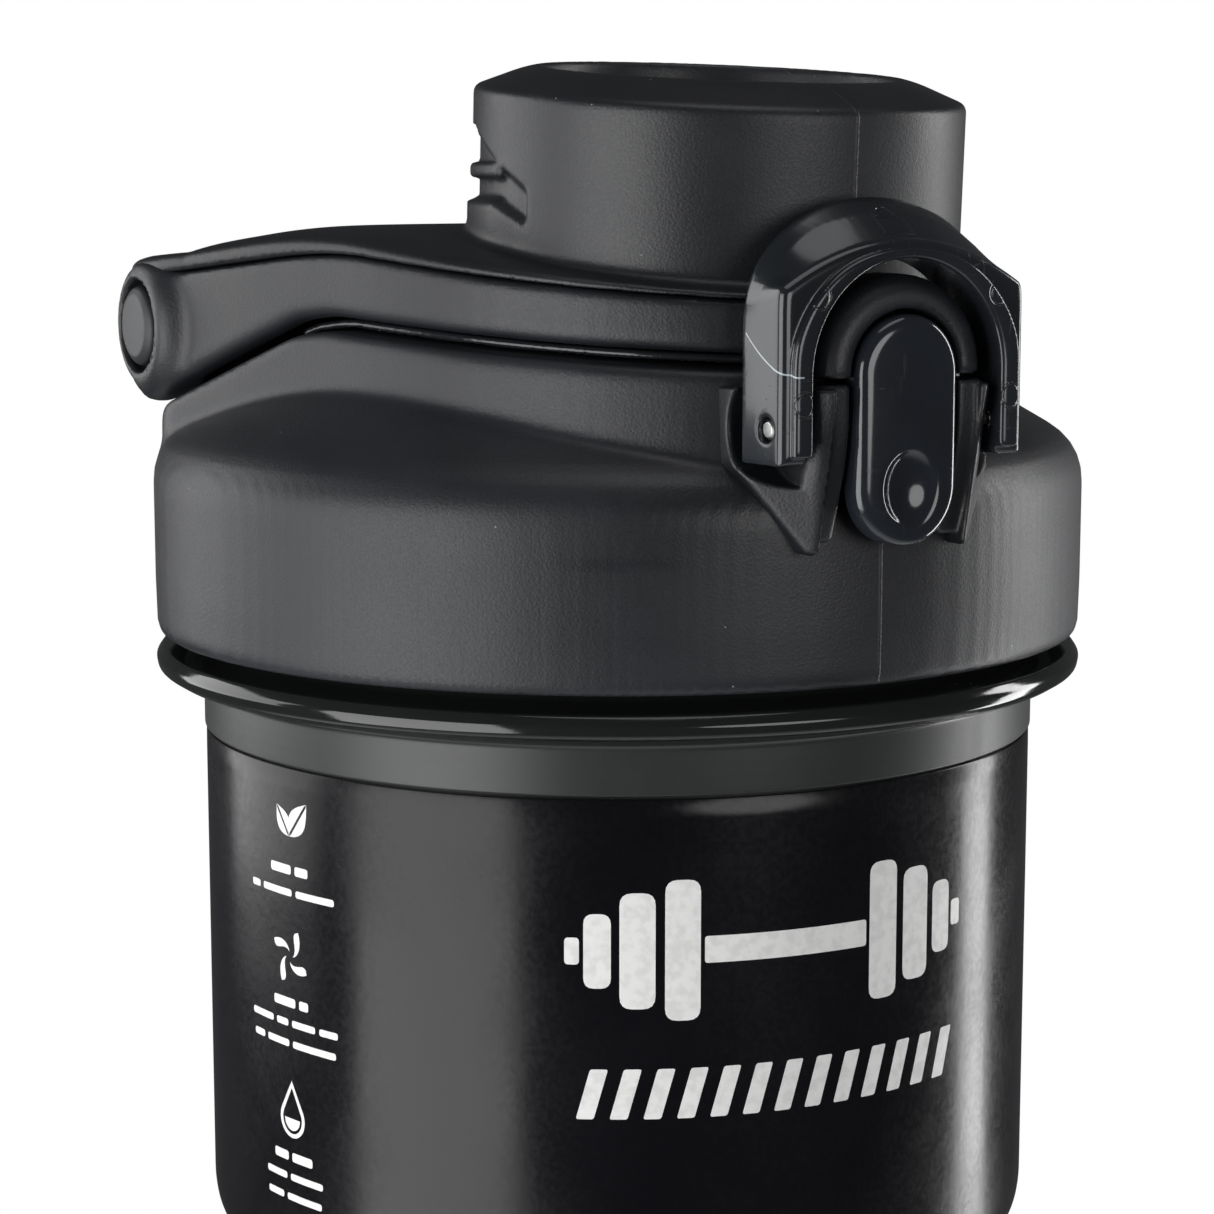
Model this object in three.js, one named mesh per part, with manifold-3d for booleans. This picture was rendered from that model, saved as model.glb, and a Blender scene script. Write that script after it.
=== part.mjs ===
// Protein shaker bottle: cup, printed sleeve, screw lid, flip cap with safety lock, and mixing ball.
// Millimetres. The origin is the centre of the base, +Z is up, and +X points to the lock at the front.
import * as THREE from 'three';
import Module from 'manifold-3d';

const wasm = await Module();
wasm.setup();

// ---------- driving dimensions ----------
const AROUND = 48; // facets round the bottle
const LABEL_TOP = 166;
const LABEL_BOTTOM = 101;
const NECK_BAND_R = 43.9;
const DRUM_R = 43.75; // outside of the printed sleeve
const SLEEVE_WALL = 0.4;
const FIT = 0.3; // gap between pieces that touch
const CUP_FLOOR = 2.6;
const FLANGE_Z = LABEL_TOP + 5.6;
const NECK_R = 44.2;
const RIM_Z = 192;

const SKIRT_Z = LABEL_TOP + 10.5;
const SKIRT_R = 48.7;
const SHOULDER_Z = LABEL_TOP + 31;
const DOME_SLOPE = 0.577;
const LINER_R = 46.9;

const TOWER_X = 19.3; // axis of the spout and of the tower that caps it
const TOWER_R = 24.2;
const TILT = 0.08; // the cap's faces fall towards the lock
const SPOUT_R = 17;

const PIVOT_X = -24; // hinge of the flip cap
const PIVOT_Z = LABEL_TOP + 41.6;
const LOBE_R = 6.9;
const LOBE_IN = 38.5;
const LOBE_OUT = 43.1;
const BARREL_R = 6.2;

const LATCH_X = 49.8; // steel pin of the lock and the button
const LATCH_Z = LABEL_TOP + 35.1;
const PIN_R = 0.95;
const PIN_FIT = 0.2;

const BALL_R = 17;

// ---------- materials ----------
const paint = (color, roughness, metalness = 0) =>
  new THREE.MeshStandardMaterial({ color, roughness, metalness });
const softTouch = () => paint(0x24262b, 0.62);
const smokePlastic = () => paint(0x2c302d, 0.3);
const glossPlastic = () => paint(0x15171a, 0.14);
const printedFilm = () => paint(0x0d0c10, 0.18);
const silicone = () => paint(0x3a3c3e, 0.75);
const steel = () => paint(0xc9cbcd, 0.25, 1);
const palePlastic = () => paint(0xd9dbd6, 0.35);

// ---------- solids ----------
function toSolid(geometry) {
  const bare = geometry.index ? geometry.toNonIndexed() : geometry.clone();
  const at = bare.attributes.position;
  const keys = new Map();
  const verts = [];
  const tris = [];
  for (let i = 0; i < at.count; i += 3) {
    const ids = [];
    for (let k = 0; k < 3; k++) {
      const p = [at.getX(i + k), at.getY(i + k), at.getZ(i + k)];
      const key = p.map((v) => Math.round(v * 1e4)).join();
      if (!keys.has(key)) {
        keys.set(key, verts.length / 3);
        verts.push(...p);
      }
      ids.push(keys.get(key));
    }
    if (ids[0] !== ids[1] && ids[1] !== ids[2] && ids[2] !== ids[0]) tris.push(...ids);
  }
  const mesh = new wasm.Mesh({
    numProp: 3,
    vertProperties: new Float32Array(verts),
    triVerts: new Uint32Array(tris),
  });
  return new wasm.Manifold(mesh);
}

function join(...solids) {
  return solids.reduce((a, b) => a.add(b));
}

function cut(body, ...tools) {
  return tools.reduce((a, b) => a.subtract(b), body);
}

function toGeometry(solid) {
  const mesh = solid.getMesh();
  const geometry = new THREE.BufferGeometry();
  geometry.setAttribute('position', new THREE.BufferAttribute(mesh.vertProperties, mesh.numProp));
  geometry.setIndex(new THREE.BufferAttribute(mesh.triVerts, 1));
  return geometry;
}

// A closed profile of [radius, height] turned about the Z axis.
function turned(profile, around = AROUND) {
  const points = profile.map(([r, z]) => new THREE.Vector2(r, z));
  if (profile[0][0] > 0) points.push(points[0].clone());
  return new THREE.LatheGeometry(points, around).rotateX(Math.PI / 2);
}

// A flat outline of [x, y] raised from z0 to z1.
function raised(outline, z0, z1) {
  const shape = new THREE.Shape(outline.map(([x, y]) => new THREE.Vector2(x, y)));
  const geometry = new THREE.ExtrudeGeometry(shape, { depth: z1 - z0, bevelEnabled: false });
  return geometry.translate(0, 0, z0);
}

// A side profile of [x, z] run across the bottle from y0 to y1.
function across(profile, y0, y1) {
  const shape = new THREE.Shape(profile.map(([x, z]) => new THREE.Vector2(x, z)));
  const geometry = new THREE.ExtrudeGeometry(shape, { depth: y1 - y0, bevelEnabled: false });
  return geometry.rotateX(Math.PI / 2).translate(0, y1, 0);
}

function block(x0, x1, y0, y1, z0, z1) {
  const geometry = new THREE.BoxGeometry(x1 - x0, y1 - y0, z1 - z0);
  return geometry.translate((x0 + x1) / 2, (y0 + y1) / 2, (z0 + z1) / 2);
}

// A round bar across the bottle at x, z.
function bar(radius, x, z, y0, y1, around = 32) {
  const geometry = new THREE.CylinderGeometry(radius, radius, y1 - y0, around);
  return geometry.translate(x, (y0 + y1) / 2, z);
}

// Rings of [x, y, z] points joined one to the next and capped at both ends.
function lofted(rings) {
  const count = rings[0].length;
  const verts = rings.flat(2);
  const tris = [];
  for (let k = 0; k + 1 < rings.length; k++) {
    for (let i = 0; i < count; i++) {
      const a = k * count + i;
      const b = k * count + ((i + 1) % count);
      tris.push(a, b, b + count, a, b + count, a + count);
    }
  }
  const middle = (ring) => {
    const sum = ring.reduce((s, p) => [s[0] + p[0], s[1] + p[1], s[2] + p[2]], [0, 0, 0]);
    return sum.map((v) => v / ring.length);
  };
  const first = verts.length / 3;
  verts.push(...middle(rings[0]), ...middle(rings[rings.length - 1]));
  const start = (rings.length - 1) * count;
  for (let i = 0; i < count; i++) {
    tris.push(first, (i + 1) % count, i);
    tris.push(first + 1, start + i, start + ((i + 1) % count));
  }
  const geometry = new THREE.BufferGeometry();
  geometry.setAttribute('position', new THREE.Float32BufferAttribute(verts, 3));
  geometry.setIndex(tris);
  return geometry;
}

// A round wire of the given radius along a list of points, closed at both ends.
function wire(points, radius, sides = 6) {
  const path = new THREE.CatmullRomCurve3(points.map((p) => new THREE.Vector3(...p)));
  const shape = new THREE.Shape();
  shape.absarc(0, 0, radius, 0, 2 * Math.PI);
  const settings = { steps: points.length, curveSegments: sides, extrudePath: path, bevelEnabled: false };
  return new THREE.ExtrudeGeometry(shape, settings);
}

// ---------- shared curves ----------
const between = (a, b, t) => a + (b - a) * t;

// Height on a line through [x, z] points, level beyond its ends.
function along(line, x) {
  if (x >= line[0][0]) return line[0][1];
  for (let i = 1; i < line.length; i++) {
    if (x >= line[i][0]) {
      const [[xa, za], [xb, zb]] = [line[i - 1], line[i]];
      return between(za, zb, (x - xa) / (xb - xa));
    }
  }
  return line[line.length - 1][1];
}

const lift = (line, dz) => line.map(([x, z]) => [x, z + dz]);

// The parting between the lid and the flip cap, front to back, seen from the side.
const SEAM = lift([[50, 39.6], [5, 42.3], [0, 41.7], [-24, 32.3], [-30, 31], [-60, 31]], LABEL_TOP);
// The step under the flip cap's deck, front to back.
const LIP = lift([[50, 45.8], [8, 50.0], [2, 49.8], [-20, 47.2], [-60, 47.2]], LABEL_TOP);
// How far the deck stands over that step, front to back.
const DECK_RISE = [[45, 0.8], [8, 2.3], [-4, 3.2], [-20, 2.9]];

// Half of the cap's outline seen from above, from the lock round to the hinge.
const HALF_OUTLINE = [
  [46.4, 0], [45.5, 7], [42.8, 13.5], [38.6, 19], [32.6, 24.5], [24, 29.6],
  [14.5, 33.2], [4, 36.2], [-8, 39.6], [-18, 42.2], [-23, 43.1],
];

function outlineCurve() {
  const mirrored = HALF_OUTLINE.slice(1).map(([x, y]) => [x, -y]).reverse();
  const points = [...mirrored, ...HALF_OUTLINE].map(([x, y]) => new THREE.Vector2(x, y));
  return new THREE.SplineCurve(points);
}

// The cap's outline grown by a margin, with a straight back edge.
function capOutline(margin, backX) {
  const curve = outlineCurve();
  const points = [];
  const steps = 36;
  for (let i = 0; i <= steps; i++) {
    const p = curve.getPoint(i / steps);
    const t = curve.getTangent(i / steps);
    const x = p.x + t.y * margin;
    const y = p.y - t.x * margin;
    if (x > backX + 0.5) points.push([x, y]);
  }
  const edge = points[points.length - 1][1];
  return [[backX, points[0][1] - 0.2], ...points, [backX, edge + 0.2]];
}

// Where a ray from the tower's axis leaves an outline.
function reach(outline, angle, fromX) {
  const [c, s] = [Math.cos(angle), Math.sin(angle)];
  let best = 0;
  for (let i = 0; i < outline.length; i++) {
    const [ax, ay] = outline[i];
    const [bx, by] = outline[(i + 1) % outline.length];
    const d = c * (by - ay) - s * (bx - ax);
    if (Math.abs(d) < 1e-9) continue;
    const t = ((ax - fromX) * (by - ay) - ay * (bx - ax)) / d;
    const u = ((ax - fromX) * s - ay * c) / d;
    if (t > 0 && u >= -1e-9 && u <= 1 + 1e-9) best = Math.max(best, t);
  }
  return best;
}

// ---------- cup ----------
function bottleRadius(z) {
  const line = [[200, DRUM_R], [116, DRUM_R], [113.8, 43.1], [112, 41.9], [110.2, 40.6], [108, 39.6],
    [105, 39.1], [98, 38.9], [8, 36.3]];
  return along(line, z);
}

const SLEEVE_HEIGHTS = [LABEL_TOP, 116, 113.8, 112, 110.2, 108, 105, LABEL_BOTTOM];

// One turn of the neck thread, drawn as a level ring that clears the liner's bore.
function threadRing(z) {
  return [[NECK_R, z - 0.9], [NECK_R + 0.9, z - 0.3], [NECK_R + 0.9, z + 0.3], [NECK_R, z + 0.9]];
}

function cupBody() {
  const under = SLEEVE_HEIGHTS.map((z) => [bottleRadius(z) - SLEEVE_WALL - FIT, z]).reverse();
  const outside = [
    [0, 0], [30.5, 0], [33.6, 0.7], [35.6, 2.6], [36.3, 5.6], [37.6, 55], [38.85, LABEL_BOTTOM - FIT],
    ...under,
    [43.05, LABEL_TOP + FIT], [NECK_BAND_R, LABEL_TOP + FIT], [NECK_BAND_R, FLANGE_Z - 1],
    [44.6, FLANGE_Z - 0.2], [47.4, FLANGE_Z + 0.1], [48.5, FLANGE_Z + 1.1], [48.8, FLANGE_Z + 2.2],
    [48.2, FLANGE_Z + 3.1], [46, FLANGE_Z + 3.4], [NECK_R, FLANGE_Z + 3.7],
    ...threadRing(RIM_Z - 9), ...threadRing(RIM_Z - 5),
    [NECK_R, RIM_Z - 0.6], [NECK_R - 0.6, RIM_Z],
  ];
  const inside = [
    [NECK_R - 2.2, RIM_Z], [NECK_R - 2.6, RIM_Z - 0.6], [41.3, 118], [40.4, 113], [38.2, 108.6],
    [37.1, 104], [36.8, 98], [34.4, 8], [33, 4.2], [30, CUP_FLOOR], [0, CUP_FLOOR],
  ];
  return toSolid(turned([...outside, ...inside]));
}

function labelSleeve() {
  const outside = SLEEVE_HEIGHTS.map((z) => [bottleRadius(z), z]).reverse();
  const inside = SLEEVE_HEIGHTS.map((z) => [bottleRadius(z) - SLEEVE_WALL, z]);
  return toSolid(turned([...outside, ...inside]));
}

// ---------- lid ----------
function lidTurned() {
  const dome = (r) => SHOULDER_Z + DOME_SLOPE * (46.3 - r);
  const seat = RIM_Z + 2.2;
  return toSolid(turned([
    [47.3, SKIRT_Z + 0.6], [47.7, SKIRT_Z], [48.2, SKIRT_Z + 0.1], [48.5, SKIRT_Z + 0.9],
    [SKIRT_R, LABEL_TOP + 16], [SKIRT_R, LABEL_TOP + 27.4], [48.4, LABEL_TOP + 28.8],
    [47.8, LABEL_TOP + 29.8], [46.8, LABEL_TOP + 30.6], [44.5, dome(45.2)], [40, dome(40.2)],
    [32, dome(32)], [24, dome(24)], [0, dome(20)],
    [0, LABEL_TOP + 36.8], [30, LABEL_TOP + 34], [38, LABEL_TOP + 30.6], [40.4, seat], [LINER_R + FIT, seat],
  ]));
}

// The raised platform under the flip cap, drawn in a little towards its top.
function lidPlatform() {
  const low = capOutline(1.3, -25.4);
  const high = capOutline(0.1, -25.4);
  const rings = [LABEL_TOP + 26, LABEL_TOP + 45].map((z, k) => {
    const outline = k === 0 ? low : high;
    return outline.map(([x, y]) => [x, y, z]);
  });
  return toSolid(lofted(rings));
}

function belowSeam(gap) {
  const seam = SEAM.map(([x, z]) => [x, z - gap]);
  return toSolid(across([[60, 100], [60, seam[0][1]], ...seam, [-60, 100]].reverse(), -60, 60));
}

// Knuckle on the lid that carries the hinge pins, between the cap's two lobes.
function hingeKnuckle() {
  const half = LOBE_IN - FIT;
  const web = across([
    [PIVOT_X - 5.4, PIVOT_Z - 2], [PIVOT_X - 2.8, LABEL_TOP + 30], [PIVOT_X + 3.4, LABEL_TOP + 30],
    [PIVOT_X + 3.4, PIVOT_Z - 4], [PIVOT_X + 3.4, PIVOT_Z], [PIVOT_X, PIVOT_Z + 2],
  ].reverse(), -half, half);
  return join(toSolid(bar(BARREL_R, PIVOT_X, PIVOT_Z, -half, half)), toSolid(web));
}

// One of the two ears beside the button, drawn down to a point on the skirt.
function latchEar(side) {
  const z = (h) => LABEL_TOP + h;
  const y = (v) => side * v;
  const ear = toSolid(across([
    [40, z(39)], [51.6, z(39)], [52.2, z(38.4)], [52.2, z(33)], [49.4, z(24.4)], [47.6, z(24.4)], [40, z(30)],
  ], Math.min(y(5.9), y(9.1)), Math.max(y(5.9), y(9.1))));
  const rows = [
    [[52.2, y(7.4), z(34)], [52.2, y(9.1), z(37)], [50, y(9.1), z(39)], [43, y(9.1), z(39)]],
    [[49.3, y(9.6), z(24.6)], [46.2, y(14.2), z(31.6)], [44.4, y(13.9), z(38.4)], [42, y(13), z(38.8)]],
  ];
  const gusset = new THREE.BufferGeometry();
  const verts = rows.flat();
  verts.push([42, y(8), z(30)]);
  const faces = [[0, 1, 5], [0, 5, 4], [1, 2, 6], [1, 6, 5], [2, 3, 7], [2, 7, 6], [3, 8, 7],
    [4, 5, 8], [5, 6, 7], [5, 7, 8], [0, 4, 8], [0, 8, 3], [0, 3, 2], [0, 2, 1]];
  const order = side < 0 ? faces : faces.map(([a, b, c]) => [a, c, b]);
  gusset.setAttribute('position', new THREE.Float32BufferAttribute(verts.flat(), 3));
  gusset.setIndex(order.flat());
  return join(ear, toSolid(gusset));
}

function springSeat(radius, x0, x1) {
  const geometry = new THREE.CylinderGeometry(radius, radius, x1 - x0, 20);
  return geometry.rotateZ(Math.PI / 2).translate((x0 + x1) / 2, 0, LATCH_Z - 4.1);
}

function lidShell() {
  let lid = join(lidTurned(), lidPlatform());
  lid = lid.intersect(belowSeam(0));
  const cavity = toSolid(turned([
    [0, 150], [46, 150], [46, RIM_Z + 2], [40.4, RIM_Z + 2], [38, LABEL_TOP + 30.6], [30, LABEL_TOP + 33],
    [0, LABEL_TOP + 33],
  ]));
  const skirtHollow = toSolid(turned([
    [0, 150], [47.2, 150], [47.2, RIM_Z + 2.2], [0, RIM_Z + 2.2],
  ]));
  const mouth = toSolid(turned([[0, 180], [SPOUT_R + FIT, 180], [SPOUT_R + FIT, 220], [0, 220]], 48)
    .translate(TOWER_X, 0, 0));
  lid = join(lid, hingeKnuckle(), latchEar(-1), latchEar(1));
  const behindButton = toSolid(block(46.9, 60, -5.9, 5.9, LABEL_TOP + 29, LABEL_TOP + 60));
  const pinHole = toSolid(bar(PIN_R + PIN_FIT, LATCH_X, LATCH_Z, -20, 20, 24));
  const hingeHole = toSolid(bar(2.2, PIVOT_X, PIVOT_Z, -60, 60, 24));
  const keepBarrel = toSolid(bar(2.3, PIVOT_X, PIVOT_Z, -30, 30, 24));
  const legRooms = [-1, 1].map((s) => {
    const y = [s * 9.7, s * 15].sort((a, b) => a - b);
    const swing = toSolid(bar(5.4, LATCH_X, LATCH_Z, y[0], y[1], 40));
    return join(swing, toSolid(block(45.6, 60, y[0], y[1], LABEL_TOP + 31.4, LABEL_TOP + 60)));
  });
  lid = cut(lid, skirtHollow, cavity, mouth, behindButton, pinHole, hingeHole.subtract(keepBarrel), ...legRooms);
  return cut(lid, toSolid(springSeat(1.8, 45, 60)));
}

function threadLiner() {
  const top = RIM_Z + 1.9;
  return toSolid(turned([
    [45.5, SKIRT_Z + 1.4], [LINER_R, SKIRT_Z + 1.4], [LINER_R, top], [45.5, top],
  ]));
}

function gasket() {
  const z = RIM_Z + FIT;
  return toSolid(turned([
    [40.9, z + 0.1], [41.2, z], [44.6, z], [44.9, z + 0.3], [44.9, z + 1.3], [44.6, z + 1.6], [41.2, z + 1.6],
    [40.9, z + 1.4],
  ]));
}

// ---------- spout ----------
function spout() {
  const z = (h) => LABEL_TOP + h;
  const tube = toSolid(turned([
    [14.6, z(31)], [SPOUT_R, z(31)], [SPOUT_R, z(52)], [SPOUT_R - 0.5, z(54)], [SPOUT_R - 1.3, z(54.6)],
    [15, z(54.2)], [14.6, z(53)],
  ], 48).translate(TOWER_X, 0, 0));
  const plate = toSolid(raised(capOutline(-2.4, -2), LABEL_TOP + 30, LABEL_TOP + 60));
  const upper = SEAM.map(([x, h]) => [x, h + 1.1]);
  const lower = SEAM.map(([x, h]) => [x, h + FIT]);
  const slab = toSolid(across([...upper, ...lower.reverse()].reverse(), -60, 60));
  const bore = toSolid(turned([[0, z(30)], [14.6, z(30)], [14.6, z(70)], [0, z(70)]], 48)
    .translate(TOWER_X, 0, 0));
  return cut(join(tube, plate.intersect(slab)), bore);
}

// ---------- flip cap ----------
function towerRing(radius, height, outline) {
  const ring = [];
  const count = 56;
  for (let i = 0; i < count; i++) {
    const a = (2 * Math.PI * i) / count;
    const h = height(0);
    const centre = TOWER_X + 0.05 * (h - LABEL_TOP - 50);
    const r = outline ? reach(outline, a, TOWER_X) : radius;
    const fromX = outline ? TOWER_X : centre;
    const x = fromX + r * Math.cos(a);
    ring.push([x, r * Math.sin(a), height(x)]);
  }
  return ring;
}

const tilted = (h) => (x) => LABEL_TOP + h - TILT * (x - TOWER_X);
const overLip = (dz) => (x) => along(LIP, x) + dz;

function flipCapTower() {
  const back = -19.5;
  const edge = capOutline(0.3, back);
  const round = capOutline(0.1, back + 0.3);
  const shoulder = capOutline(-0.9, back + 1.2);
  const inner = capOutline(-3.2, back + 3);
  const rise = (share) => (x) => along(LIP, x) + share * along(DECK_RISE, x);
  const deckUnder = (x) => along(LIP, x) + 0.5;
  return toSolid(lofted([
    towerRing(21.8, tilted(58.6)),
    towerRing(21.8, deckUnder),
    towerRing(0, overLip(0.5), inner),
    towerRing(0, overLip(0), inner),
    towerRing(0, overLip(0), edge),
    towerRing(0, rise(0.35), edge),
    towerRing(0, rise(0.75), round),
    towerRing(0, rise(1), shoulder),
    towerRing(TOWER_R, rise(1.1)),
    towerRing(TOWER_R, tilted(64.7)),
    towerRing(TOWER_R - 0.5, tilted(65.5)),
    towerRing(18.2, tilted(67.7)),
    towerRing(17.6, tilted(67.3)),
    towerRing(16.8, tilted(61.4)),
  ]));
}

function flipCapFrame() {
  const frameTop = lift(LIP, -FIT);
  const frameBottom = lift(SEAM, 1.4);
  const wall = toSolid(raised(capOutline(0, -24), LABEL_TOP + 30, LABEL_TOP + 60));
  const hollow = toSolid(raised(capOutline(-3, -14), LABEL_TOP + 20, LABEL_TOP + 70));
  const side = toSolid(across([...frameTop.slice(0, 4), [-24, PIVOT_Z + 5.2], [-24, PIVOT_Z - 5.6],
    ...frameBottom.slice(0, 4).reverse()], -60, 60));
  let frame = wall.intersect(side).subtract(hollow);
  for (const s of [-1, 1]) {
    const y = [s * LOBE_IN, s * LOBE_OUT].sort((a, b) => a - b);
    frame = join(frame, toSolid(bar(LOBE_R, PIVOT_X, PIVOT_Z, y[0], y[1], 48)));
  }
  // The horseshoe at the front that the lock closes round.
  const horseshoe = [[-9, 39.5], [-9, 40]];
  for (let i = 0; i <= 16; i++) {
    const a = Math.PI - (Math.PI * i) / 16;
    horseshoe.push([9 * Math.cos(a), 40 + 8.7 * Math.sin(a)]);
  }
  horseshoe.push([9, 39.5], [5.9, 39.5]);
  for (let i = 0; i <= 12; i++) {
    const a = (Math.PI * i) / 12;
    horseshoe.push([5.9 * Math.cos(a), 40 + 5.6 * Math.sin(a)]);
  }
  horseshoe.push([-5.9, 39.5]);
  const shape = new THREE.Shape(horseshoe.map(([y, h]) => new THREE.Vector2(y, LABEL_TOP + h)));
  const tongue = new THREE.ExtrudeGeometry(shape, { depth: 7.8, bevelEnabled: false });
  tongue.rotateX(Math.PI / 2).rotateZ(Math.PI / 2).translate(44.6, 0, 0);
  const towerGap = toSolid(turned([[0, LABEL_TOP + 44.8], [27.6, LABEL_TOP + 44.8], [27.6, 240], [0, 240]], 72)
    .translate(TOWER_X, 0, 0));
  const overPlatform = toSolid(block(40, 47.4, -12, 12, LABEL_TOP + 30, along(SEAM, 47) + 1.4));
  const catchLedge = toSolid(block(44.4, 49.4, -3.4, 3.4, LABEL_TOP + 41.3, LABEL_TOP + 42.3));
  frame = join(frame, cut(toSolid(tongue), towerGap, overPlatform), catchLedge);
  const half = LOBE_IN;
  const knuckleRoom = toSolid(bar(BARREL_R + 0.7, PIVOT_X, PIVOT_Z, -half, half, 48));
  const behind = toSolid(block(-60, PIVOT_X, -half, half, 180, 240));
  const webRoom = toSolid(block(-60, PIVOT_X + 4, -half, half, 180, PIVOT_Z - 4));
  const pinHole = toSolid(bar(2.2, PIVOT_X, PIVOT_Z, -60, 60, 24));
  const headRoom = toSolid(bar(4.6, PIVOT_X, PIVOT_Z, LOBE_OUT - 1.4, LOBE_OUT + 3, 32));
  const headRoomFar = toSolid(bar(4.6, PIVOT_X, PIVOT_Z, -LOBE_OUT - 3, -LOBE_OUT + 1.4, 32));
  return cut(frame, knuckleRoom, behind, webRoom, pinHole, headRoom, headRoomFar);
}

function spoutPlug() {
  const z = (h) => LABEL_TOP + h;
  return toSolid(turned([
    [0, z(51.6)], [10.2, z(51.6)], [12, z(52.4)], [13.4, z(55)], [16.4, z(55.2)], [16.9, z(55.8)],
    [16.9, z(56.9)], [0, z(56.9)],
  ], 48).translate(TOWER_X, 0, 0));
}

// ---------- hinge ----------
function hingePin(side) {
  const head = side * LOBE_OUT;
  const z = [31, LOBE_OUT - 1.1, LOBE_OUT + 1.2, LOBE_OUT + 1.9];
  const profile = [[0, z[0]], [1.7, z[0]], [2, z[0] + 0.4], [2, z[1]], [4.1, z[1]], [4.1, z[2]],
    [3.3, z[3] - 0.2], [2.2, z[3]], [0, z[3]]];
  const pin = turned(profile, 32).rotateX(head > 0 ? -Math.PI / 2 : Math.PI / 2);
  return toSolid(pin.translate(PIVOT_X, 0, PIVOT_Z));
}

// ---------- lock, button and their pin ----------
function lockBail() {
  const outer = [];
  const inner = [];
  const visorBack = [];
  const count = 24;
  for (let i = 0; i <= count; i++) {
    const t = Math.PI - (Math.PI * i) / count;
    const y = 13.4 * Math.cos(t);
    const crown = 51.8 - y * y / 41;
    outer.push([y, Math.min(crown, 45.4 + 3 * Math.sin(t) ** 0.4 + 3.4 * Math.sin(t))]);
    inner.push([10.3 * Math.cos(t), 39.9 + 10.3 * Math.sin(t)]);
    visorBack.push([13.8 * Math.cos(t), 43.6 + 12.2 * Math.sin(t) ** 0.85]);
  }
  const foot = 31.9;
  const loop = (arch) => [[arch[0][0], foot], ...arch, [arch[count][0], foot]];
  const slabs = [
    [46, visorBack], [48.4, outer.map(([y, h], i) => [between(y, visorBack[i][0], 0.6),
      between(h, visorBack[i][1], 0.62)])], [51.4, outer.map(([y, h]) => [y, h + 0.2])],
    [53, outer.map(([y, h]) => [y * 0.985, h])],
  ];
  const rings = slabs.map(([x, arch]) => loop(arch).map(([y, h]) => [x, y, LABEL_TOP + h]));
  const bodyOf = (list) => toSolid(lofted(list.map((ring) => ring.slice().reverse())));
  const window = [[-10.3, 25], ...inner, [10.3, 25]];
  const hole = [40, 60].map((x) => window.map(([y, h]) => [x, y, LABEL_TOP + h]).reverse());
  const pinHole = toSolid(bar(PIN_R + PIN_FIT, LATCH_X, LATCH_Z, -20, 20, 24));
  return cut(bodyOf(rings), toSolid(lofted(hole)), pinHole);
}

function releaseButton() {
  const stadium = (r, grow) => {
    const points = [];
    for (let i = 0; i <= 14; i++) {
      const a = (Math.PI * i) / 14;
      points.push([r * Math.cos(a), 39.7 + r * Math.sin(a) + grow]);
    }
    for (let i = 0; i <= 14; i++) {
      const a = Math.PI + (Math.PI * i) / 14;
      points.push([r * Math.cos(a), 29.5 + r * Math.sin(a) - grow]);
    }
    return points;
  };
  const slab = [[50.4, 5.3], [52.8, 5.5], [53.4, 4.9]];
  const rings = slab.map(([x, r]) => stadium(r, 0).map(([y, h]) => [x, y, LABEL_TOP + h]));
  let button = toSolid(lofted(rings));
  const boss = toSolid(bar(2.4, LATCH_X, LATCH_Z, -5.4, 5.4, 28));
  const hook = toSolid(across([[50.6, LABEL_TOP + 44.4], [50.6, LABEL_TOP + 42.7], [48.1, LABEL_TOP + 42.7],
    [48.1, LABEL_TOP + 43.2], [49.4, LABEL_TOP + 44.4]].reverse(), -2.9, 2.9));
  button = join(button, boss, hook);
  const dimple = new THREE.SphereGeometry(1, 24, 16).scale(1.3, 3, 3.5);
  const pinHole = toSolid(bar(PIN_R + PIN_FIT, LATCH_X, LATCH_Z, -20, 20, 24));
  const pocket = toSolid(springSeat(1.8, 48, 51.8));
  return cut(button, toSolid(dimple.translate(53.7, 0, LABEL_TOP + 29.2)), pinHole, pocket);
}

function latchPin() {
  return toSolid(bar(PIN_R, LATCH_X, LATCH_Z, -13.3, 13.3, 20));
}

function buttonSpring() {
  const points = [];
  const turns = 4.5;
  const steps = 40;
  for (let i = 0; i <= steps; i++) {
    const a = (2 * Math.PI * turns * i) / steps;
    points.push([45.6 + (5.6 * i) / steps, 1.15 * Math.cos(a), LATCH_Z - 4.1 + 1.15 * Math.sin(a)]);
  }
  return toSolid(wire(points, 0.25, 5));
}

// ---------- mixing ball ----------
const BALL_Z = CUP_FLOOR + FIT + BALL_R;

function slottedHalf(side) {
  const R = BALL_R;
  const r = R - 1.6;
  const profile = [];
  for (let i = 0; i <= 5; i++) {
    const a = between(0.02, 1.28, i / 5);
    profile.push([R * Math.cos(a), R * Math.sin(a)]);
  }
  for (let i = 5; i >= 0; i--) {
    const a = between(0.02, 1.28, i / 5);
    profile.push([r * Math.cos(a), r * Math.sin(a)]);
  }
  let half = toSolid(turned(profile, 30));
  for (let i = 0; i < 6; i++) {
    const slot = block(4.9, 20, -3.3, 3.3, 3.2, 13.4).rotateZ((Math.PI * i) / 3 + Math.PI / 6);
    half = cut(half, toSolid(slot));
  }
  const flip = side < 0 ? half.rotate([180, 0, 0]) : half;
  return flip.translate([0, 0, BALL_Z]);
}

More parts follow.
